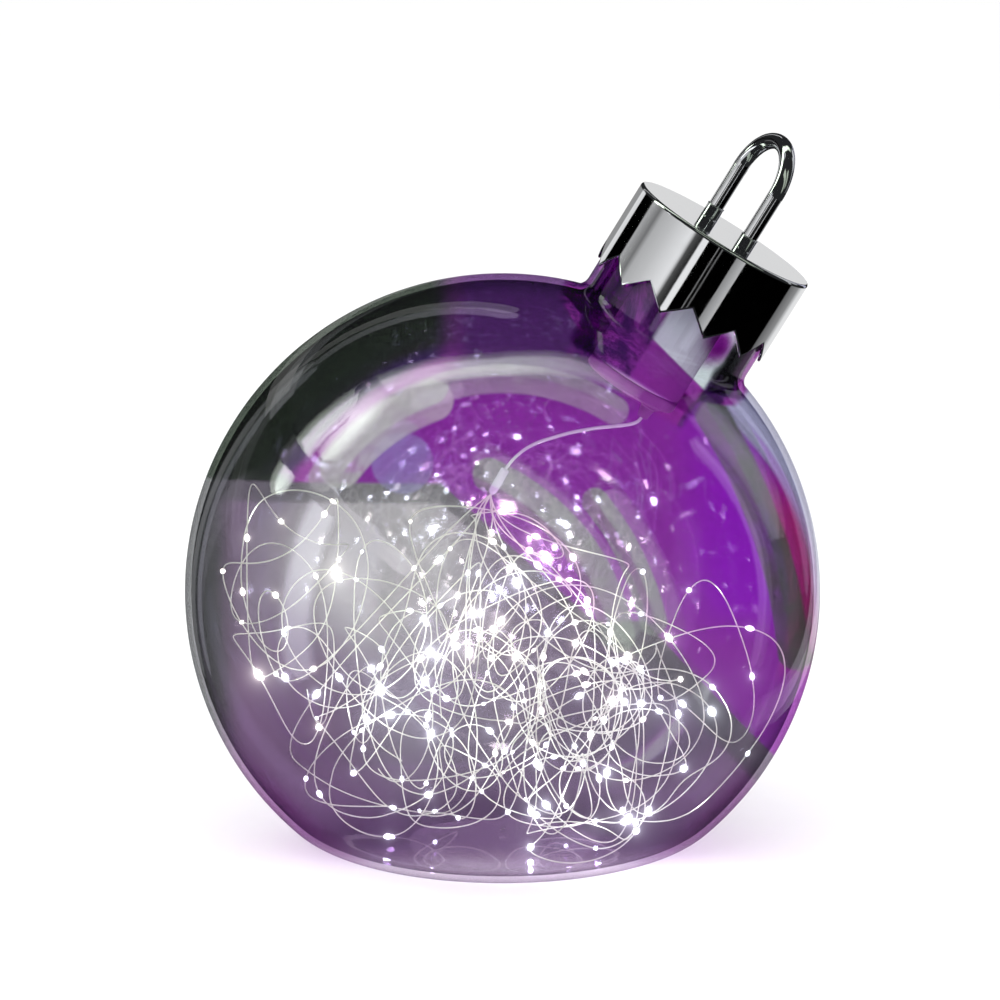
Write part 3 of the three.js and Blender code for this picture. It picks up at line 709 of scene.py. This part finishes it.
def neck_tint(paint, places):
    """Round the neck: streaky violet at the left, a pearly panel over orchid, and painted shade at the right.
    """
    streaks = paint.noise(120.0, 4.0, 0.7, place=paint.stretched((1.0, 1.0, 0.25)))
    tint = paint.mixed(paint.between(streaks, 0.42, 0.62), DEEP_VIOLET, ORCHID)
    return layered(paint, tint, [
        (1.00, layered(paint, ORCHID, PANEL_LAYERS, places), [("across_blurred", -0.015, 0.005)]),
        (1.00, layered(paint, DEEP_VIOLET, NECK_SHADE_LAYERS, places), [("across_blurred", 0.205, 0.225)]),
        (1.00, ORCHID, [("across_blurred", 0.28, 0.30)]),
    ], places)


def coat_tint(paint, near_power, far_power):
    """What a wall lets through, deeper at a slant, with painted reflections of the studio in its tint. The
    powers share the tint between near and far walls.
    """
    places = coat_measures(paint)
    # Below the painted horizon the grey lilac is in part a painted reflection of a pale table; above it, the
    # dark studio's painted reflection lies at the top left.
    low = layered(paint, GREY_LILAC, LOW_LAYERS, places)
    high = layered(paint, VIOLET, HIGH_LAYERS, places)
    tint = paint.mixed(paint.between(places["below"], -BORDER_BLUR, BORDER_BLUR), high, low)
    tint = tint_with_painted_reflections(paint, tint, places)
    tint = paint.mixed(paint.times(fine_streaks(paint), FINE_STREAKS), tint, LAVENDER)
    neck = opened(paint, NECK_WINDOW, places)
    tint = paint.mixed(neck, tint, neck_tint(paint, places))

    # The neck takes the whole tint from each of its walls.
    power = paint.times(
        paint.between(places["depth"], -0.15, 0.15, near_power, far_power), paint.minus(1.0, neck),
    )
    power = paint.plus(power, paint.times(neck, near_power + far_power))
    slant = paint.add("LayerWeight", {"Blend": 0.5}, output="Facing")
    deeper = paint.times(paint.math("POWER", slant, SLANT_POWER), SLANT_DEPTH)
    power = paint.times(power, paint.plus(deeper, 1.0))
    return paint.add("Gamma", {"Color": tint, "Gamma": power})


def glass_normal(paint):
    """Blown glass is never quite true, so that reflections waver a little."""
    ripples = paint.noise(90.0, 3.0, place=paint.stretched((1.0, 1.0, 3.0)))
    return paint.bump(paint.plus(paint.noise(16.0, 2.0), paint.times(ripples, 0.10)), 0.25, 1.0 * MM)


def mirror_share(paint, normal, facing):
    """How much a glass wall mirrors: the share facing says when seen square on, and more edge on."""
    slant = paint.add("LayerWeight", {"Blend": 0.5, "Normal": normal}, output="Facing")
    rise = paint.math("POWER", slant, EDGE_POWER)
    return paint.plus(facing, paint.times(rise, EDGE_MIRROR - facing), clamp=True)


def tinted_wall(name, powers, facing, rough, mirror_tint, lit_tint):
    """One face of the ball's wall: it lets light through in the coat's tint, and mirrors a little."""
    paint = Paint(name)
    normal = glass_normal(paint)
    clear = paint.add("BsdfTransparent", {"Color": coat_tint(paint, *powers)})
    mirror = paint.add("BsdfGlossy", {"Color": mirror_tint, "Roughness": rough, "Normal": normal})
    wall = paint.add("MixShader", {0: mirror_share(paint, normal, facing), 1: clear, 2: mirror})
    lit = paint.add("BsdfTransparent", {"Color": lit_tint})
    shadow = paint.add("LightPath", output="Is Shadow Ray")
    return paint.finish(paint.add("MixShader", {0: shadow, 1: wall, 2: lit}))


def outer_glass_paint():
    return tinted_wall("glass_outside", (0.05, 0.36), 0.04, 0.025, colour(1, 1, 1), colour(0.97, 0.96, 0.98))


def coated_glass_paint():
    mirror, lit = colour(0.92, 0.90, 1.0), colour(0.93, 0.92, 0.95)
    return tinted_wall("glass_coat", (0.08, 0.51), 0.16, 0.05, mirror, lit)


# ---- the ball

def ball_reach(direction, inset):
    """How far the ball's surface is from its centre: a sphere, rounded off into a flat foot."""
    sphere = BALL_RADIUS - inset
    foot = (BALL_CENTRE.z - inset) / max(-direction.z, 1e-6)
    share = min(max(0.5 + (foot - sphere) / (2 * FOOT_BLEND), 0.0), 1.0)
    return foot + (sphere - foot) * share - FOOT_BLEND * share * (1 - share)


def ball_point(polar_angle, turn, inset):
    """A point of the ball, by its angle from the neck's axis."""
    across, along = math.sin(polar_angle), math.cos(polar_angle)
    direction = NECK_TURN @ Vector((*polar(across, turn), along))
    return BALL_CENTRE + direction * ball_reach(direction, inset)


def globe_wall(inset):
    """Rings of one wall, from the bottom of the ball up to the neck's rim."""
    lateral = NECK_RADIUS + NECK_FILLET
    height = math.sqrt((BALL_RADIUS + NECK_FILLET) ** 2 - lateral ** 2)
    tangent = math.atan2(lateral, height)
    fillet = NECK_FILLET + inset
    turns = around(GLOBE_SEGMENTS)
    rings = [
        [ball_point(math.pi + (tangent - math.pi) * row / GLOBE_RINGS, turn, inset) for turn in turns]
        for row in range(GLOBE_RINGS + 1)
    ]
    first = math.degrees(math.atan2(-height, -lateral))
    profile = arc((lateral, height), fillet, first, -180, 10)[1:]
    wall = NECK_RADIUS - inset
    profile += [(wall, height + (NECK_RIM - GLASS / 2 - height) * i / 4) for i in range(1, 5)]
    rings += [[in_neck(*polar(radius, turn), along) for turn in turns] for radius, along in profile]
    return rings


def make_globe():
    """The blown wall: its outer face, the neck's rounded rim, and its inner face with the coat."""
    outer, inner = globe_wall(0.0), globe_wall(GLASS)
    lip = arc((NECK_RADIUS - GLASS / 2, NECK_RIM - GLASS / 2), GLASS / 2, 0, 180, 8)[1:-1]
    rim = [[in_neck(*polar(radius, turn), along) for turn in around(GLOBE_SEGMENTS)] for radius, along in lip]
    rings = outer + rim + inner[::-1]
    mesh = bpy.data.meshes.new("glass_ball")
    mesh.from_pydata([tuple(p) for ring in rings for p in ring], [], grid_faces(len(rings), GLOBE_SEGMENTS))
    coated = len(outer) + len(rim)
    mesh.materials.append(outer_glass_paint())
    mesh.materials.append(coated_glass_paint())
    for face in mesh.polygons:
        face.material_index = int(face.index // GLOBE_SEGMENTS >= coated)
    finish_piece("glass_ball", welded(mesh, 1e-7), None, nodes=["glass_globe"])


# ---- the crown

def skirt_edge(turn):
    """The height of the crown's toothed edge, with a valley at the front."""
    step = 2 * math.pi / TOOTH_COUNT
    share = ((turn + math.pi / 2) / step) % 1.0
    return CROWN_TOP - CROWN_HEIGHT + TOOTH_DEPTH * abs(2 * share - 1)


def make_crown(material):
    """The cap in rings: over the roof, down the side, round each tooth's lip, and back up inside."""
    columns = TOOTH_COUNT * 16
    turns = around(columns, -math.pi / 2)
    edge = CROWN_EDGE
    inner = CROWN_RADIUS - CROWN_WALL
    roof = CROWN_TOP - CROWN_ROOF
    rings = [[(CROWN_RADIUS * share, CROWN_TOP)] * columns for share in (0.0, 0.5, 0.9, 0.965)]
    rings += [[corner] * columns for corner in arc((CROWN_RADIUS - edge, CROWN_TOP - edge), edge, 90, 0, 6)]
    lips = [skirt_edge(turn) for turn in turns]
    top = CROWN_TOP - edge
    round_off = CROWN_WALL / 2
    for share in (0.01, 0.4, 0.8, 0.98):
        rings.append([(CROWN_RADIUS, top + (lip + round_off - top) * share) for lip in lips])
    for radius, drop in arc((0.0, 0.0), round_off, 0, -180, 6):
        rings.append([(CROWN_RADIUS - round_off + radius, lip + round_off + drop) for lip in lips])
    for share in (0.4, 0.8, 0.98):
        rings.append([(inner, lip + round_off + (roof - edge - lip - round_off) * share) for lip in lips])
    rings += [[corner] * columns for corner in arc((inner - edge, roof - edge), edge, 0, 90, 4)]
    rings += [[(inner * share, roof)] * columns for share in (0.9, 0.5, 0.0)]
    points = ring_points(rings, turns, NECK_FRAME)
    mesh = mesh_from("crown", points, grid_faces(len(rings), columns))
    finish_piece("crown", mesh, material, "crown", ["crown_cap"])


def loop_line(step):
    """The loop's middle line in the neck's frame: up one leg, round the arch and down the other."""
    half = LOOP_WIDTH / 2
    shoulder = CROWN_TOP + LOOP_RISE - half
    line = [Vector((half, 0, LOOP_FOOT)), Vector((half, 0, shoulder))]
    line += [Vector((x, 0, shoulder + z)) for x, z in arc((0, 0), half, 3, 177, 58)]
    line += [Vector((-half, 0, shoulder)), Vector((-half, 0, LOOP_FOOT))]
    turn = Matrix.Rotation(LOOP_TURN, 4, "Z")
    return even_steps([NECK_FRAME @ turn @ p for p in line], step)


def make_loop(material):
    """The bent rod. Its ends, under the crown's roof, carry a thread."""
    points = loop_line(0.25 * MM)
    total = line_length(points)
    threaded = CROWN_TOP - CROWN_ROOF - LOOP_FOOT

    def section(share):
        from_end = min(share, 1 - share) * total
        cut = THREAD_DEPTH if from_end < threaded else 0.0
        taper = 0.5 * MM * max(0.0, 1 - from_end / (0.6 * MM))
        outline = []
        for turn in around(LOOP_SIDES):
            wave = 0.5 - 0.5 * math.cos(turn + 2 * math.pi * share * total / THREAD_PITCH)
            outline.append(polar(LOOP_ROD / 2 - cut * wave - taper, turn))
        return outline

    mesh = swept("loop", points, section, Vector((0, 1, 0)))
    finish_piece("loop", mesh, material, "crown", ["hanging_loop"])


def leg_frames():
    """The neck's frame moved to each leg of the loop."""
    places = [polar(LOOP_WIDTH / 2, LOOP_TURN + half) for half in (0, math.pi)]
    return [NECK_FRAME @ Matrix.Translation((x, y, 0)) for x, y in places]


def make_loop_fittings(chrome, steel):
    """A lipped sleeve on the roof, and a washer and nut under it, on each leg."""
    hole = LOOP_ROD / 2 + 0.12 * MM
    washer_top = CROWN_TOP - CROWN_ROOF - FITTING_GAP
    nut_top = washer_top - WASHER_THICKNESS - FITTING_GAP
    washer = rounded_ring(hole, hole + WASHER_RIM, washer_top - WASHER_THICKNESS, washer_top, 0.2 * MM)
    for i, place in enumerate(leg_frames(), start=1):
        for kind, mesh, material, slot in (
            ("collar", lathe("collar", sleeve_profile(hole), place, 64), chrome, "chrome"),
            ("washer", lathe("washer", washer, place, 48), steel, "steel"),
            ("nut", hex_nut(hole, NUT_FLATS, nut_top - NUT_HEIGHT, nut_top, place), steel, "steel"),
        ):
            finish_piece(f"{kind}_{i}", mesh, material, "crown", [f"loop_{kind}_{i}"])


def sleeve_profile(hole):
    """A thin sleeve with a rolled lip at its top and a small foot."""
    wall, lip, foot = 0.22 * MM, 0.25 * MM, 0.12 * MM
    bottom, top = CROWN_TOP + 0.05 * MM, CROWN_TOP + COLLAR_HEIGHT
    outer = hole + wall
    return [
        (hole, bottom), (outer + foot, bottom), (outer + foot, bottom + foot / 2),
        (outer, bottom + foot * 1.5), (outer, bottom + foot * 1.7), (outer, top - 2.4 * lip),
        *arc((outer - 0.1 * MM, top - lip), lip, -60, 90, 8), (hole + 0.1 * MM, top), (hole, top - 0.1 * MM),
        (hole, bottom),
    ]


def rounded_ring(inner, outer, bottom, top, edge):
    """The closed profile of a flat ring with rounded edges."""
    left, right, low, high = inner + edge, outer - edge, bottom + edge, top - edge
    corners = ((right, low, -90), (right, high, 0), (left, high, 90), (left, low, 180))
    profile = [point for x, y, first in corners for point in arc((x, y), edge, first, first + 90, 4)]
    return [*profile, (right, bottom)]


def hex_nut(hole, flats, bottom, top, place):
    """A hexagon nut: each corner falls away in a chamfer."""
    turns = around(72)
    chamfer, bevel = 0.55 * MM, 0.5 * MM
    rings = []
    for along, corner in ((bottom, 1.019), (bottom + chamfer, 1.154), (top - chamfer, 1.154), (top, 1.019)):
        reaches = [1 / math.cos(turn % (math.pi / 3) - math.pi / 6) for turn in turns]
        rings.append([(flats / 2 * min(reach, corner), along) for reach in reaches])
    inside = ((hole + bevel, top), (hole, top - bevel), (hole, bottom + bevel), (hole + bevel, bottom))
    rings += [[corner] * len(turns) for corner in inside]
    points = ring_points(rings, turns, place)
    return mesh_from("nut", points, grid_faces(len(rings), len(turns), closed_rows=True))


# ---- lead and wires

LEAD_ROUTE = [
    (58.9, -9.2, 182.1), (57.3, -9.2, 179.5), (55.7, -9.2, 176.9), (54.3, -9.2, 174.6), (53.1, -9.2, 173.1),
    (51.2, -9.2, 172.1), (48.3, -9.2, 171.5), (44.6, -9.1, 171), (38, -8.8, 170.3), (32, -8.5, 169.3),
    (26.7, -8.2, 168.2), (20, -7.7, 166.2), (14.5, -7.2, 164.3), (10.3, -6.8, 162.2), (6.5, -6.4, 159.4),
    (3.6, -6, 156.4), (1.4, -5.7, 153.4),
]
SPLICE_START = Vector((1.2, -5.65, 153.1)) * MM
SPLICE_END = Vector((-4.6, -5, 142.8)) * MM


def make_splice(material):
    """The clear joint where the lead ends and the wires begin."""
    along = SPLICE_END - SPLICE_START
    turn = Vector((0, 0, 1)).rotation_difference(along).to_matrix()
    place = Matrix.Translation(SPLICE_START) @ turn.to_4x4()
    radius, length = SPLICE_WIDTH / 2, along.length
    profile = [(0, 0), *arc((radius - 0.6 * MM, 0.6 * MM), 0.6 * MM, -90, 0, 4)]
    profile += [(radius * 0.96, length * 0.3), (radius, length * 0.6)]
    tip = [polar(1.0, turn) for turn in (0.4, 0.8, 1.2, math.pi / 2)]
    profile += [(radius * out, length * (0.75 + 0.25 * up)) for out, up in tip]
    return finish_piece("splice", lathe("splice", profile, place, 32), material,
                        nodes=["strand_splice"])


def twin_section(width, sides=10):
    """Two round cores side by side under one jacket."""
    core = width / 4
    left = arc((-core, 0), core, 45, 315, sides)
    right = arc((core, 0), core, -135, 135, sides)
    return left + right


def make_lead(jacket, core, splice):
    """The clear lead, from the housing's grommet to the splice, with its two cores."""
    points = smooth_route([Vector(p) * MM for p in LEAD_ROUTE], 0.6 * MM)
    outline = twin_section(LEAD_WIDTH)
    mesh = swept("lead", points, lambda share: outline, Vector((0, 1, 0)))
    lead = finish_piece("lead", mesh, jacket, nodes=["lead_cable"])
    for name, offset in (("lead_core_1", -0.25), ("lead_core_2", 0.25)):
        inner = arc((offset * LEAD_WIDTH, 0), 0.3 * MM, 0, 324, 9)
        mesh = swept(name, points, lambda share, inner=inner: inner, Vector((0, 1, 0)))
        finish_piece(name, mesh, core)


def kept_inside(point, inset):
    """The point, moved in to stay clear of the glass."""
    offset = point - BALL_CENTRE
    distance = max(offset.length, 1e-9)
    limit = ball_reach(offset / distance, inset)
    if distance < 0.8 * limit:
        return point
    share = (distance - 0.8 * limit) / (0.2 * limit)
    return BALL_CENTRE + offset / distance * limit * (0.8 + 0.2 * math.tanh(share))


def wandering(chance, waves):
    """A smooth random value between -1 and 1 that changes with share."""
    terms = [
        (k, chance.uniform(0.6, 1.0) / k ** 0.3, chance.uniform(0, 2 * math.pi)) for k in range(1, waves + 1)
    ]
    scale = 3.0 / sum(size for _, size, _ in terms)
    return lambda share: math.sin(
        scale * sum(size * math.sin(2 * math.pi * k * share + phase) for k, size, phase in terms)
    )


def home_of(index):
    """Where a wire mostly lies. The wires share the nest out evenly, as seeds do in a sunflower."""
    across, up = polar(math.sqrt((index + 0.5) / STRAND_COUNT), index * GOLDEN_TURN)
    return Vector((across * NEST_REACH[0], 0, up * NEST_REACH[1]))


def loops_of(index, chance):
    """One wire's loops: their middle wanders round its home, and their size and lean change as it goes."""
    home = BALL_CENTRE + NEST_MIDDLE + home_of(index)
    stations = [
        home + Vector([chance.uniform(-1, 1) * wander for wander in NEST_WANDER])
        for _ in range(NEST_STATIONS)
    ]
    middles = smooth_route(stations, 1.0 * MM)
    size, lean, twist = wandering(chance, 6), wandering(chance, 3), wandering(chance, 3)
    turn = chance.uniform(0, 2 * math.pi)
    way = chance.choice((-1, 1))
    count = round(STRAND_LENGTH / WIRE_STEP)
    points = []
    for i in range(count + 1):
        share = i / count
        radius = LOOP_MIDDLE + LOOP_CHANGE * size(share)
        turn += way * WIRE_STEP / radius
        leaned = Matrix.Rotation(LEAN_MIDDLE + LEAN_CHANGE * lean(share), 3, "X")
        twisted = Matrix.Rotation(TWIST_CHANGE * twist(share), 3, "Y")
        middle = middles[round(share * (len(middles) - 1))]
        offset = leaned @ twisted @ Vector((*polar(radius, turn), 0))
        points.append(kept_inside(middle + offset, GLASS + WIRE_CLEARANCE))
    return points


def strand_line(index):
    """One wire, from the splice through its loops, with its sharpest turns eased."""
    chance = random.Random(100 + index)
    loops = loops_of(index, chance)
    falling = (SPLICE_END - SPLICE_START).normalized()
    fan = Vector([chance.uniform(-1, 1) for _ in range(3)])
    pull = min(LEAD_IN, (loops[0] - SPLICE_END).length)
    leave = (falling + 0.9 * (fan - falling * fan.dot(falling))).normalized() * pull
    arrive = (loops[1] - loops[0]).normalized() * pull
    points = [hermite(SPLICE_END, leave, loops[0], arrive, i / 40) for i in range(40)] + loops
    for _ in range(3):
        eased = [(a + b * 2 + c) / 4 for a, b, c in zip(points, points[1:], points[2:])]
        points = [points[0], *eased, points[-1]]
    return even_steps(points, WIRE_STEP)


def hermite(first, leave, last, arrive, share):
    """A point on the smooth curve that leaves first in one direction and reaches last in another."""
    square, cube = share ** 2, share ** 3
    return (
        first * (2 * cube - 3 * square + 1) + leave * (cube - 2 * square + share)
        + last * (3 * square - 2 * cube) + arrive * (cube - square)
    )


def drops_mesh(name, points, chance):
    """Small resin drops along a wire, each with its long way along it."""
    spacing = DROP_SPACING / WIRE_STEP
    places = [round(spacing * (k + chance.uniform(0.3, 0.7))) for k in range(int(len(points) / spacing))]
    shape = bmesh.new()
    for at in places:
        if not 2 <= at < len(points) - 2:
            continue
        turn = Vector((0, 0, 1)).rotation_difference(along_at(points, at)).to_matrix()
        size = chance.uniform(*DROP_SIZES)
        made = bmesh.ops.create_uvsphere(shape, u_segments=12, v_segments=8, radius=1.0)
        for vertex in made["verts"]:
            x, y, z = vertex.co
            width = DROP_RADIUS * (1 - DROP_TAPER * max(0.0, z))
            vertex.co = points[at] + turn @ Vector((x * width, y * width, z * DROP_HALF_LENGTH)) * size
    mesh = bpy.data.meshes.new(name)
    shape.to_mesh(mesh)
    shape.free()
    return mesh


def make_strands(wire, cool, warm):
    """The wires with their drops, each wire with its drops as one cord. Gives the lines that they follow."""
    strands = []
    for index in range(STRAND_COUNT):
        points = strand_line(index)
        chance = random.Random(500 + index)
        curve, mesh = wire_curve("strand", points, WIRE), drops_mesh("drops", points, chance)
        glow = warm if index % 3 == 0 else cool
        strand = finish_piece(f"led_strand_{index + 1}", curve, wire, nodes=["led_nest"])
        drops = finish_piece(f"led_drops_{index + 1}", mesh, glow)
        strands.append(points)
    return strands


# ---- the studio

def make_camera():
    back = Vector((0, -math.cos(CAMERA_RISE), math.sin(CAMERA_RISE)))
    data = bpy.data.cameras.new("camera")
    data.lens = CAMERA_LENS
    data.sensor_width = 36
    data.clip_end = 50
    data.shift_x = CAMERA_SHIFT
    camera = put_in_scene("camera", data)
    camera.location = BALL_CENTRE + back * CAMERA_DISTANCE
    level = CAMERA_RISE - CAMERA_AIM_UP
    turn_towards(camera, Vector((0, math.cos(level), -math.sin(level))))
    bpy.context.scene.camera = camera


def turn_towards(thing, direction):
    thing.rotation_mode = "QUATERNION"
    thing.rotation_quaternion = direction.to_track_quat("-Z", "Y")


def make_world():
    """White to the eye and to matt surfaces, dark in reflections, so that the light cards show."""
    world = bpy.data.worlds.new("studio")
    world.use_nodes = True
    bpy.context.scene.world = world
    tree = world.node_tree
    tree.nodes.clear()
    mix = tree.nodes.new("ShaderNodeMixShader")
    path = tree.nodes.new("ShaderNodeLightPath")
    tree.links.new(path.outputs["Is Glossy Ray"], mix.inputs[0])
    for socket, (tint, strength) in enumerate((SKY_SEEN, SKY_MIRRORED), start=1):
        sky = tree.nodes.new("ShaderNodeBackground")
        sky.inputs["Color"].default_value = tint
        sky.inputs["Strength"].default_value = strength
        tree.links.new(sky.outputs[0], mix.inputs[socket])
    out = tree.nodes.new("ShaderNodeOutputWorld")
    tree.links.new(mix.outputs[0], out.inputs["Surface"])


def make_floor():
    paint = Paint("floor")
    tint = paint.mixed(paint.noise(40.0, 3.0), colour(0.93, 0.93, 0.93), colour(0.96, 0.96, 0.96))
    paint.principled(Base_Color=tint, Roughness=0.9)
    mesh = bpy.data.meshes.new("floor")
    corners = [(x * FLOOR_HALF, y * FLOOR_HALF, 0) for x, y in ((-1, -1), (1, -1), (1, 1), (-1, 1))]
    mesh.from_pydata(corners, [], [(0, 1, 2, 3)])
    mesh.materials.append(paint.material)
    floor = put_in_scene("floor", mesh)
    floor.visible_glossy = False


def sky_point(turn, rise):
    """A card's point, seen from the ball's centre: turn goes from +X towards +Y, and both are in degrees."""
    turn, rise = math.radians(turn), math.radians(rise)
    return BALL_CENTRE + CARD_DISTANCE * Vector((*polar(math.cos(rise), turn), math.sin(rise)))


def make_card(name, places, width, glow, tint, soft):
    """A light ribbon with round ends, seen only in reflections.

    places are (turn, rise) in degrees, glow is how bright it is, in even steps along its way, and soft is the
    share of its half width that fades out.
    """
    line = smooth_route([sky_point(turn, rise) for turn, rise in places], CARD_DISTANCE * 0.02)
    half = CARD_DISTANCE * math.radians(width) / 2
    total = line_length(line)
    across = ((-1, 0), (soft - 1, 1), (1 - soft, 1), (1, 0))
    points, glows, walked = [], [], 0.0
    for i, point in enumerate(line):
        walked += (point - line[i - 1]).length if i else 0.0
        side = along_at(line, i).cross((point - BALL_CENTRE).normalized()).normalized()
        end = min(walked, total - walked)
        reach = half * math.sqrt(max(0.0, 1 - (1 - min(end / half, 1.0)) ** 2))
        points += [point + side * reach * place for place, _ in across]
        glows += [level * stepped(glow, i / (len(line) - 1)) for _, level in across]
    put_card(name, points, glows, len(across), tint)


def stepped(values, share):
    """The value at a share of the way through a row of values."""
    place = share * (len(values) - 1)
    first = min(int(place), len(values) - 2)
    return values[first] + (values[first + 1] - values[first]) * (place - first)


def put_card(name, points, glows, columns, tint=PLAIN):
    """A sheet of glowing points, in rows of so many columns, which only reflections show."""
    rows = len(points) // columns
    faces = [
        (row * columns + i, row * columns + i + 1, (row + 1) * columns + i + 1, (row + 1) * columns + i)
        for row in range(rows - 1) for i in range(columns - 1)
    ]
    mesh = bpy.data.meshes.new(name)
    mesh.from_pydata([tuple(p) for p in points], [], faces)
    mesh.attributes.new("glow", "FLOAT", "POINT").data.foreach_set("value", glows)
    paint = Paint(name)
    paint.material.cycles.emission_sampling = "NONE"
    strength = paint.add("Attribute", output="Fac", attribute_name="glow")
    mesh.materials.append(paint.finish(paint.add("Emission", {"Color": tint, "Strength": strength})))
    card = put_in_scene(name, mesh)
    for ray in ("camera", "diffuse", "transmission", "volume_scatter", "shadow"):
        setattr(card, "visible_" + ray, False)


def crown_mirror(place):
    """The direction that the crown's side mirrors, from its left edge (-1) to its right edge (1)."""
    look = (CROWN_MIDDLE - bpy.context.scene.camera.location).normalized()
    level = (look - NECK_AXIS * look.dot(NECK_AXIS)).normalized()
    side = level.cross(NECK_AXIS)
    normal = side * place - level * math.sqrt(1 - place ** 2)
    return look - normal * 2 * look.dot(normal)


def make_crown_card():
    """A narrow ribbon of light and dark stretches, which the crown's side mirrors as bands."""
    distance = CARD_DISTANCE * 0.85
    half = distance * math.radians(CROWN_CARD_WIDTH) / 2
    places = sorted({place for place, _ in CROWN_BANDS} | {i / 60 - 1 for i in range(1, 120)})
    points, glows = [], []
    for place in places:
        direction = crown_mirror(place)
        onward = crown_mirror(min(place + 0.002, 1.0)) - crown_mirror(max(place - 0.002, -1.0))
        side = direction.cross(onward).normalized() * half
        points += [CROWN_MIDDLE + direction * distance - side, CROWN_MIDDLE + direction * distance + side]
        glows += [band_glow(place)] * 2
    put_card("crown_card", points, glows, 2)


def band_glow(place):
    """The brightness of CROWN_BANDS at a place between two of its stops."""
    for (first, low), (last, high) in zip(CROWN_BANDS, CROWN_BANDS[1:]):
        if place <= last:
            return low + (high - low) * (place - first) / (last - first)
    return CROWN_BANDS[-1][1]


def make_lamp(name, place, size, power):
    """A round lamp that faces the ball."""
    data = bpy.data.lights.new(name, "AREA")
    data.shape = "DISK"
    data.size = size
    data.energy = power
    lamp = put_in_scene(name, data)
    lamp.location = place
    turn_towards(lamp, BALL_CENTRE - Vector(place))
    lamp.visible_glossy = False


def make_led_glow(strands):
    """Small lamps along the wires, which light them as their drops do."""
    for index, points in enumerate(strands):
        for share in LED_PLACES:
            data = bpy.data.lights.new(f"led_glow_{index + 1}", "POINT")
            data.energy = LED_POWER
            data.shadow_soft_size = 2 * MM
            lamp = put_in_scene(data.name, data)
            lamp.location = points[round(share * len(points))] + LED_OFFSET
            lamp.visible_glossy = False


def make_bloom():
    """The soft halo that a camera sees round the brightest drops."""
    scene = bpy.context.scene
    scene.use_nodes = True
    tree = scene.node_tree
    tree.nodes.clear()
    kinds = ("RLayers", "Glare", "Composite")
    layers, glare, out = (tree.nodes.new("CompositorNode" + kind) for kind in kinds)
    glare.glare_type = "BLOOM"
    for name, value in BLOOM.items():
        glare.inputs[name].default_value = value
    tree.links.new(layers.outputs["Image"], glare.inputs["Image"])
    tree.links.new(glare.outputs["Image"], out.inputs["Image"])


def make_studio(strands):
    make_world()
    make_floor()
    for name, card in CARDS.items():
        make_card(name, *card)
    make_crown_card()
    make_lamp("key_light", (-0.9, -0.9, 1.5), 0.9, 12)
    make_lamp("fill_light", (1.2, -0.8, 1.1), 1.0, 6)
    make_led_glow(strands)
    make_bloom()


# ---- the whole lamp

def make_housing(steel):
    """The neck's inner pieces keep their CAD shapes, with their own finishes."""
    milky = moulded_paint("milky_plastic", colour(0.82, 0.84, 0.88), colour(0.90, 0.92, 0.95), 0.15, 0.3, 0.1)
    clear = moulded_paint("clear_plastic", colour(0.4, 0.09, 0.46), colour(0.5, 0.14, 0.56), 0.3, 0.45, 0.35)
    knob = moulded_paint("knob_plastic", colour(0.7, 0.7, 0.72), colour(0.8, 0.8, 0.82), 0.2, 0.35)
    black = moulded_paint("black_plastic", colour(0.012, 0.012, 0.013), colour(0.02, 0.02, 0.022), 0.35, 0.55)
    silicone, cells = silicone_paint(), cell_paint()
    red = wire_paint("red_wire", colour(0.4, 0.015, 0.015), colour(0.5, 0.03, 0.03))
    dark = wire_paint("black_wire", colour(0.012, 0.012, 0.012), colour(0.03, 0.03, 0.03))
    finishes = {
        "battery_housing": milky, "housing_base": clear, "housing_lid": milky, "lead_grommet": clear,
        "switch_knob": knob, "switch_body": black, "neck_gasket": silicone, "grip_ring": silicone,
        "timer_board": board_paint(), "supply_wire_red": red, "supply_wire_black": dark, "battery_wire": dark,
        **{f"cell_{i}": cells for i in (1, 2, 3)},
        **{f"contact_spring_{i}": steel for i in (1, 2, 3)},
        **{f"lid_screw_{i}": steel for i in (1, 2)},
        **{f"{end}_plate_{kind}": steel for end in ("base", "top") for kind in ("single", "link")},
    }
    for node, material in finishes.items():
        piece = frame["nodes"][node]
        piece.data.materials.clear()
        piece.data.materials.append(material)
        piece.data.shade_smooth()
        piece.data.set_sharp_from_angle(angle=math.radians(35))


def make_wiring():
    """The lead, its joint, and the wires with their drops. Gives the lines that the wires follow."""
    jacket = moulded_paint("clear_wire", colour(0.78, 0.80, 0.88), colour(0.88, 0.90, 0.96), 0.08, 0.2, 0.15)
    silver = wire_paint("silver_wire", colour(0.74, 0.80, 0.66), colour(0.88, 0.93, 0.80), 0.4)
    cool = drop_paint("led_drop_cool", colour(0.86, 0.92, 1.0))
    warm = drop_paint("led_drop_warm", colour(1.0, 0.95, 0.84))
    make_lead(jacket, silver, make_splice(jacket))
    return make_strands(silver, cool, warm)


def make_crown_parts(steel):
    make_crown(chrome_paint("chrome_sheet", 0.03, 0.08, 0.10))
    rod_chrome = chrome_paint("chrome_rod", 0.05, 0.08, 0.02)
    make_loop(rod_chrome)
    make_loop_fittings(rod_chrome, steel)


steel_finish = steel_paint()
make_camera()
make_studio(make_wiring())
make_housing(steel_finish)
make_globe()
make_crown_parts(steel_finish)

bpy.context.scene.view_settings.view_transform = "Standard"
bpy.context.scene.cycles.transparent_max_bounces = 32
